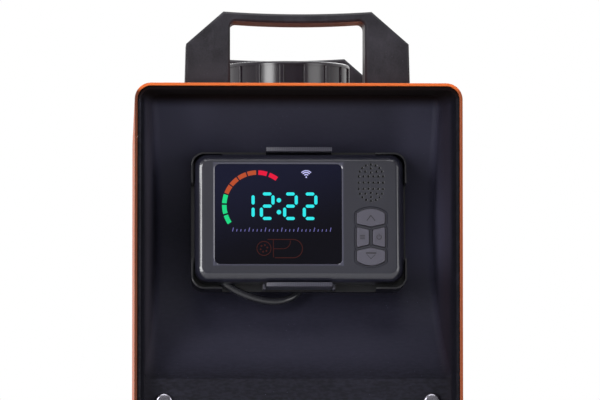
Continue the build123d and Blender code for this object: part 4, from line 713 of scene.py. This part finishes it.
bar_length, upright_length, stroke = 4.8, 5.15, 1.75
upright_offset = 3.21
top_y, upper_y, middle_y, lower_y, bottom_y = 12.99, 9.64, 6.18, 2.77, -0.69
figure_two = [(0, top_y, bar_length, stroke), (upright_offset, upper_y, stroke, upright_length),
              (0, middle_y, bar_length, stroke), (-upright_offset, lower_y, stroke, upright_length),
              (0, bottom_y, bar_length, stroke)]
one_x, colon_x = -25.56, -11.28
lit_bars = [lozenge(one_x, y, stroke, upright_length) for y in (upper_y, lower_y)]
for two_x in (-17.76, -4.89, 5.98):
    lit_bars += [lozenge(two_x + x, y, width, height) for x, y, width, height in figure_two]
lit_bars += [disc(colon_x, y, 1.25) for y in (9.47, 2.83)]
on_window("display_digits", lit_bars, lit("lit_cyan", (0.030, 0.80, 0.82)))

gauge_x, gauge_y, gauge_radius, gauge_width = -23.24, 6.68, 18.25, 2.5
gauge_half_angle = 7.6
for name, angles, colour in (
        ("display_gauge_low", (205.5, 187.2, 169.0), (0.012, 0.66, 0.22)),
        ("display_gauge_middle", (151.5, 134.3, 117.0, 99.5), (0.45, 0.073, 0.026)),
        ("display_gauge_high", (80.5, 61.3), (0.76, 0.010, 0.045))):
    cells = [arc_band(gauge_x, gauge_y, gauge_radius, gauge_width, angle - gauge_half_angle,
                      angle + gauge_half_angle) for angle in angles]
    on_window(name, cells, lit("lit_" + name, colour))

signal_x, signal_y = 3.9, 22.3
signal = [disc(signal_x, signal_y + 0.1, 0.42, 12)]
for radius, width, half_angle in ((1.55, 0.62, 42), (2.75, 0.62, 44), (3.75, 0.5, 45)):
    signal.append(arc_band(signal_x, signal_y, radius, width, 90 - half_angle, 90 + half_angle))
on_window("display_signal", signal, lit("lit_lavender", (0.55, 0.55, 0.95)))

tick_left, tick_pitch, tick_foot, tick_width, tick_lean = -37.0, 2.25, -8.0, 0.42, 0.25
ticks = []
for step in range(25):
    x = tick_left + step * tick_pitch
    tall = 2.2 if step % 4 == 0 else 1.3
    ticks.append(line_band((x, tick_foot), (x + tall * tick_lean, tick_foot + tall), tick_width))
on_window("display_scale", ticks, lit("lit_violet", (0.16, 0.15, 0.42), 0.9))

fan_x, fan_y, fan_radius = -19.6, -17.4, 3.9
housing_top, housing_bottom, housing_end, partition_x = -12.4, -22.6, -3.4, -14.4
housing_middle = (housing_top + housing_bottom) / 2
bold, fine = 0.4, 0.35
icon = [arc_band(fan_x, fan_y, fan_radius, bold, start, end, 14) for start, end in ((0, 179), (181, 359))]
for step in range(6):
    angle = math.radians(60 * step + 15)
    icon.append(disc(fan_x + 1.9 * math.cos(angle), fan_y + 1.9 * math.sin(angle), 0.5, 10))
icon += [
    line_band((fan_x + 2.0, housing_top), (housing_end, housing_top), bold),
    line_band((partition_x + 0.8, housing_bottom), (housing_end, housing_bottom), bold),
    arc_band(housing_end, housing_middle, (housing_top - housing_bottom) / 2, bold, -90, 90, 14),
    line_band((partition_x, housing_top - 0.2), (partition_x, housing_bottom + 0.2), fine),
    line_band((partition_x + 0.2, -17.6), (-9.0, -17.6), fine),
    arc_band(-9.0, -13.6, 4.0, fine, -88, 8, 8)]
on_window("display_icon", icon, lit("lit_red", (0.060, 0.0130, 0.0105), 0.8))

# ---- key symbols ----
ink = 0.03


def on_key(direction, outlines):
    plates("symbol_" + direction, outlines, key_top, ink, symbol_dark, "key_" + direction, "key_plastic")


up_y, down_y = key_pad_y + 10.6, key_pad_y - 10.2
on_key("up", chevron(key_pad_x, up_y - 1.5, up_y + 1.5, 0.5))
on_key("down", [line_band((key_pad_x - 2.9, down_y + 1.3), (key_pad_x + 2.9, down_y + 1.3), 0.75)]
       + chevron(key_pad_x, down_y + 0.5, down_y - 1.9, 0.3))
menu_left, menu_right, menu_pitch = key_pad_x - 6.1, key_pad_x - 3.3, 0.9
menu_rows = [key_pad_y + row * menu_pitch for row in (-1, 0, 1)]
on_key("left", [line_band((menu_left, y), (menu_right, y), 0.45) for y in menu_rows])
power_x = key_pad_x + 4.5
on_key("right", [arc_band(power_x, key_pad_y, 1.25, 0.5, 125, 415, 14),
                 line_band((power_x, key_pad_y + 0.3), (power_x, key_pad_y + 1.8), 0.5)])

# ---- the controller's lead ----
curve = bpy.data.curves.new("lead_line", "CURVE")
curve.dimensions = "3D"
line = curve.splines.new("NURBS")
line.points.add(len(lead_route) - 1)
for point, place in zip(line.points, lead_route):
    point.co = (*(Vector(place) * mm), 1.0)
line.order_u = 3
line.use_endpoint_u = True
curve.resolution_u = 12
curve.bevel_depth = lead_diameter / 2 * mm
curve.bevel_resolution = 6
curve.use_fill_caps = True
curve.materials.append(cable_black)
lead = bpy.data.objects.new("controller_cable", curve)
bpy.context.scene.collection.objects.link(lead)
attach(lead, "case")
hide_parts("controller_lead")

# ---- studio ----
scene = bpy.context.scene
object_middle = Vector((0.0, 0.0, 0.25))
for name, place, size, power in (
        ("front_fill", (0.0, -3.3, 1.6), (2.4, 1.6), 5.0),
        ("left_strip", (-1.26, -1.80, 0.5), (0.7, 1.6), 40.0),
        ("right_strip", (1.74, -1.36, 0.5), (1.0, 1.6), 16.0),
        ("front_top", (0.0, -1.6, 2.4), (1.8, 1.0), 20.0),
        ("overhead", (0.0, 0.2, 2.4), (1.6, 1.6), 12.0),
        ("rear_top", (0.4, 2.2, 1.9), (1.8, 1.2), 26.0)):
    light = bpy.data.lights.new(name, "AREA")
    light.shape = "RECTANGLE"
    light.size, light.size_y = size
    light.energy = power
    lamp = bpy.data.objects.new(name, light)
    lamp.location = place
    lamp.rotation_euler = (object_middle - Vector(place)).to_track_quat("-Z", "Y").to_euler()
    scene.collection.objects.link(lamp)

world = bpy.data.worlds.new("studio")
scene.world = world
world.use_nodes = True
tree = world.node_tree
background = tree.nodes["Background"]
background.inputs["Color"].default_value = (1.0, 1.0, 1.0, 1.0)
ray = tree.nodes.new("ShaderNodeLightPath").outputs
direction = tree.nodes.new("ShaderNodeTexCoord")
split = tree.nodes.new("ShaderNodeSeparateXYZ")
tree.links.new(direction.outputs["Generated"], split.inputs[0])


def level_from(front, back):
    """How bright the studio is, from behind the camera round to behind the object."""
    camera_side, far_side = -0.8, 0.2
    spread = tree.nodes.new("ShaderNodeMapRange")
    for index, value in enumerate((camera_side, far_side, front, back)):
        spread.inputs[index + 1].default_value = value
    tree.links.new(split.outputs["Y"], spread.inputs[0])
    return spread.outputs[0]


def world_maths(operation, one, other):
    made = tree.nodes.new("ShaderNodeMath")
    made.operation = operation
    tree.links.new(one, made.inputs[0])
    tree.links.new(other, made.inputs[1])
    return made.outputs[0]


mirrored = world_maths("MAXIMUM", ray["Is Glossy Ray"], ray["Is Transmission Ray"])
in_metal_and_glass = world_maths("MULTIPLY", mirrored, level_from(0.16, 1.0))
level = world_maths("MAXIMUM", in_metal_and_glass, level_from(0.16, 0.55))
level = world_maths("MAXIMUM", level, ray["Is Camera Ray"])
tree.links.new(level, background.inputs["Strength"])

# the floor fades to the background's white, and shows nothing from below
floor_shape = bmesh.new()
bmesh.ops.create_circle(floor_shape, cap_ends=True, radius=6.0, segments=64)
floor_mesh = bpy.data.meshes.new("floor")
floor_shape.to_mesh(floor_mesh)
floor_shape.free()
floor = bpy.data.objects.new("floor", floor_mesh)
scene.collection.objects.link(floor)
pale = Look("pale_floor", Roughness=0.7)
pale.put("Base Color", pale.mix(pale.noise(3.0), (0.80, 0.80, 0.80), (0.84, 0.84, 0.84)))
white = pale.node("ShaderNodeEmission", {}, (1.0, 1.0, 1.0, 1.0), 1.0)
faded = pale.node("ShaderNodeMixShader", {}, pale.step(pale.length(pale.place), 0.5, 2.2),
                  Value(pale, pale.shader.outputs[0]), white)
from_below = pale.node("ShaderNodeNewGeometry", output="Backfacing")
clear = pale.node("ShaderNodeBsdfTransparent")
surface = pale.node("ShaderNodeMixShader", {}, from_below, faded, clear)
pale.tree.links.new(surface.socket, pale.tree.nodes["Material Output"].inputs["Surface"])
floor_mesh.materials.append(pale.material)

# ---- camera ----
camera_target = Vector((0.0006, -0.2, 0.35064))
camera_distance = 2.7266
yaw, pitch = math.radians(2.101), math.radians(2.918)
forward = Vector((math.sin(yaw) * math.cos(pitch), math.cos(yaw) * math.cos(pitch), math.sin(pitch)))
camera_data = bpy.data.cameras.new("camera")
camera_data.lens = 298.66
camera_data.sensor_width = 36.0
camera = bpy.data.objects.new("camera", camera_data)
camera.location = camera_target - forward * camera_distance
camera.rotation_euler = (math.pi / 2 + pitch, 0.0, -yaw)
scene.collection.objects.link(camera)
scene.camera = camera
scene.view_settings.view_transform = "Standard"
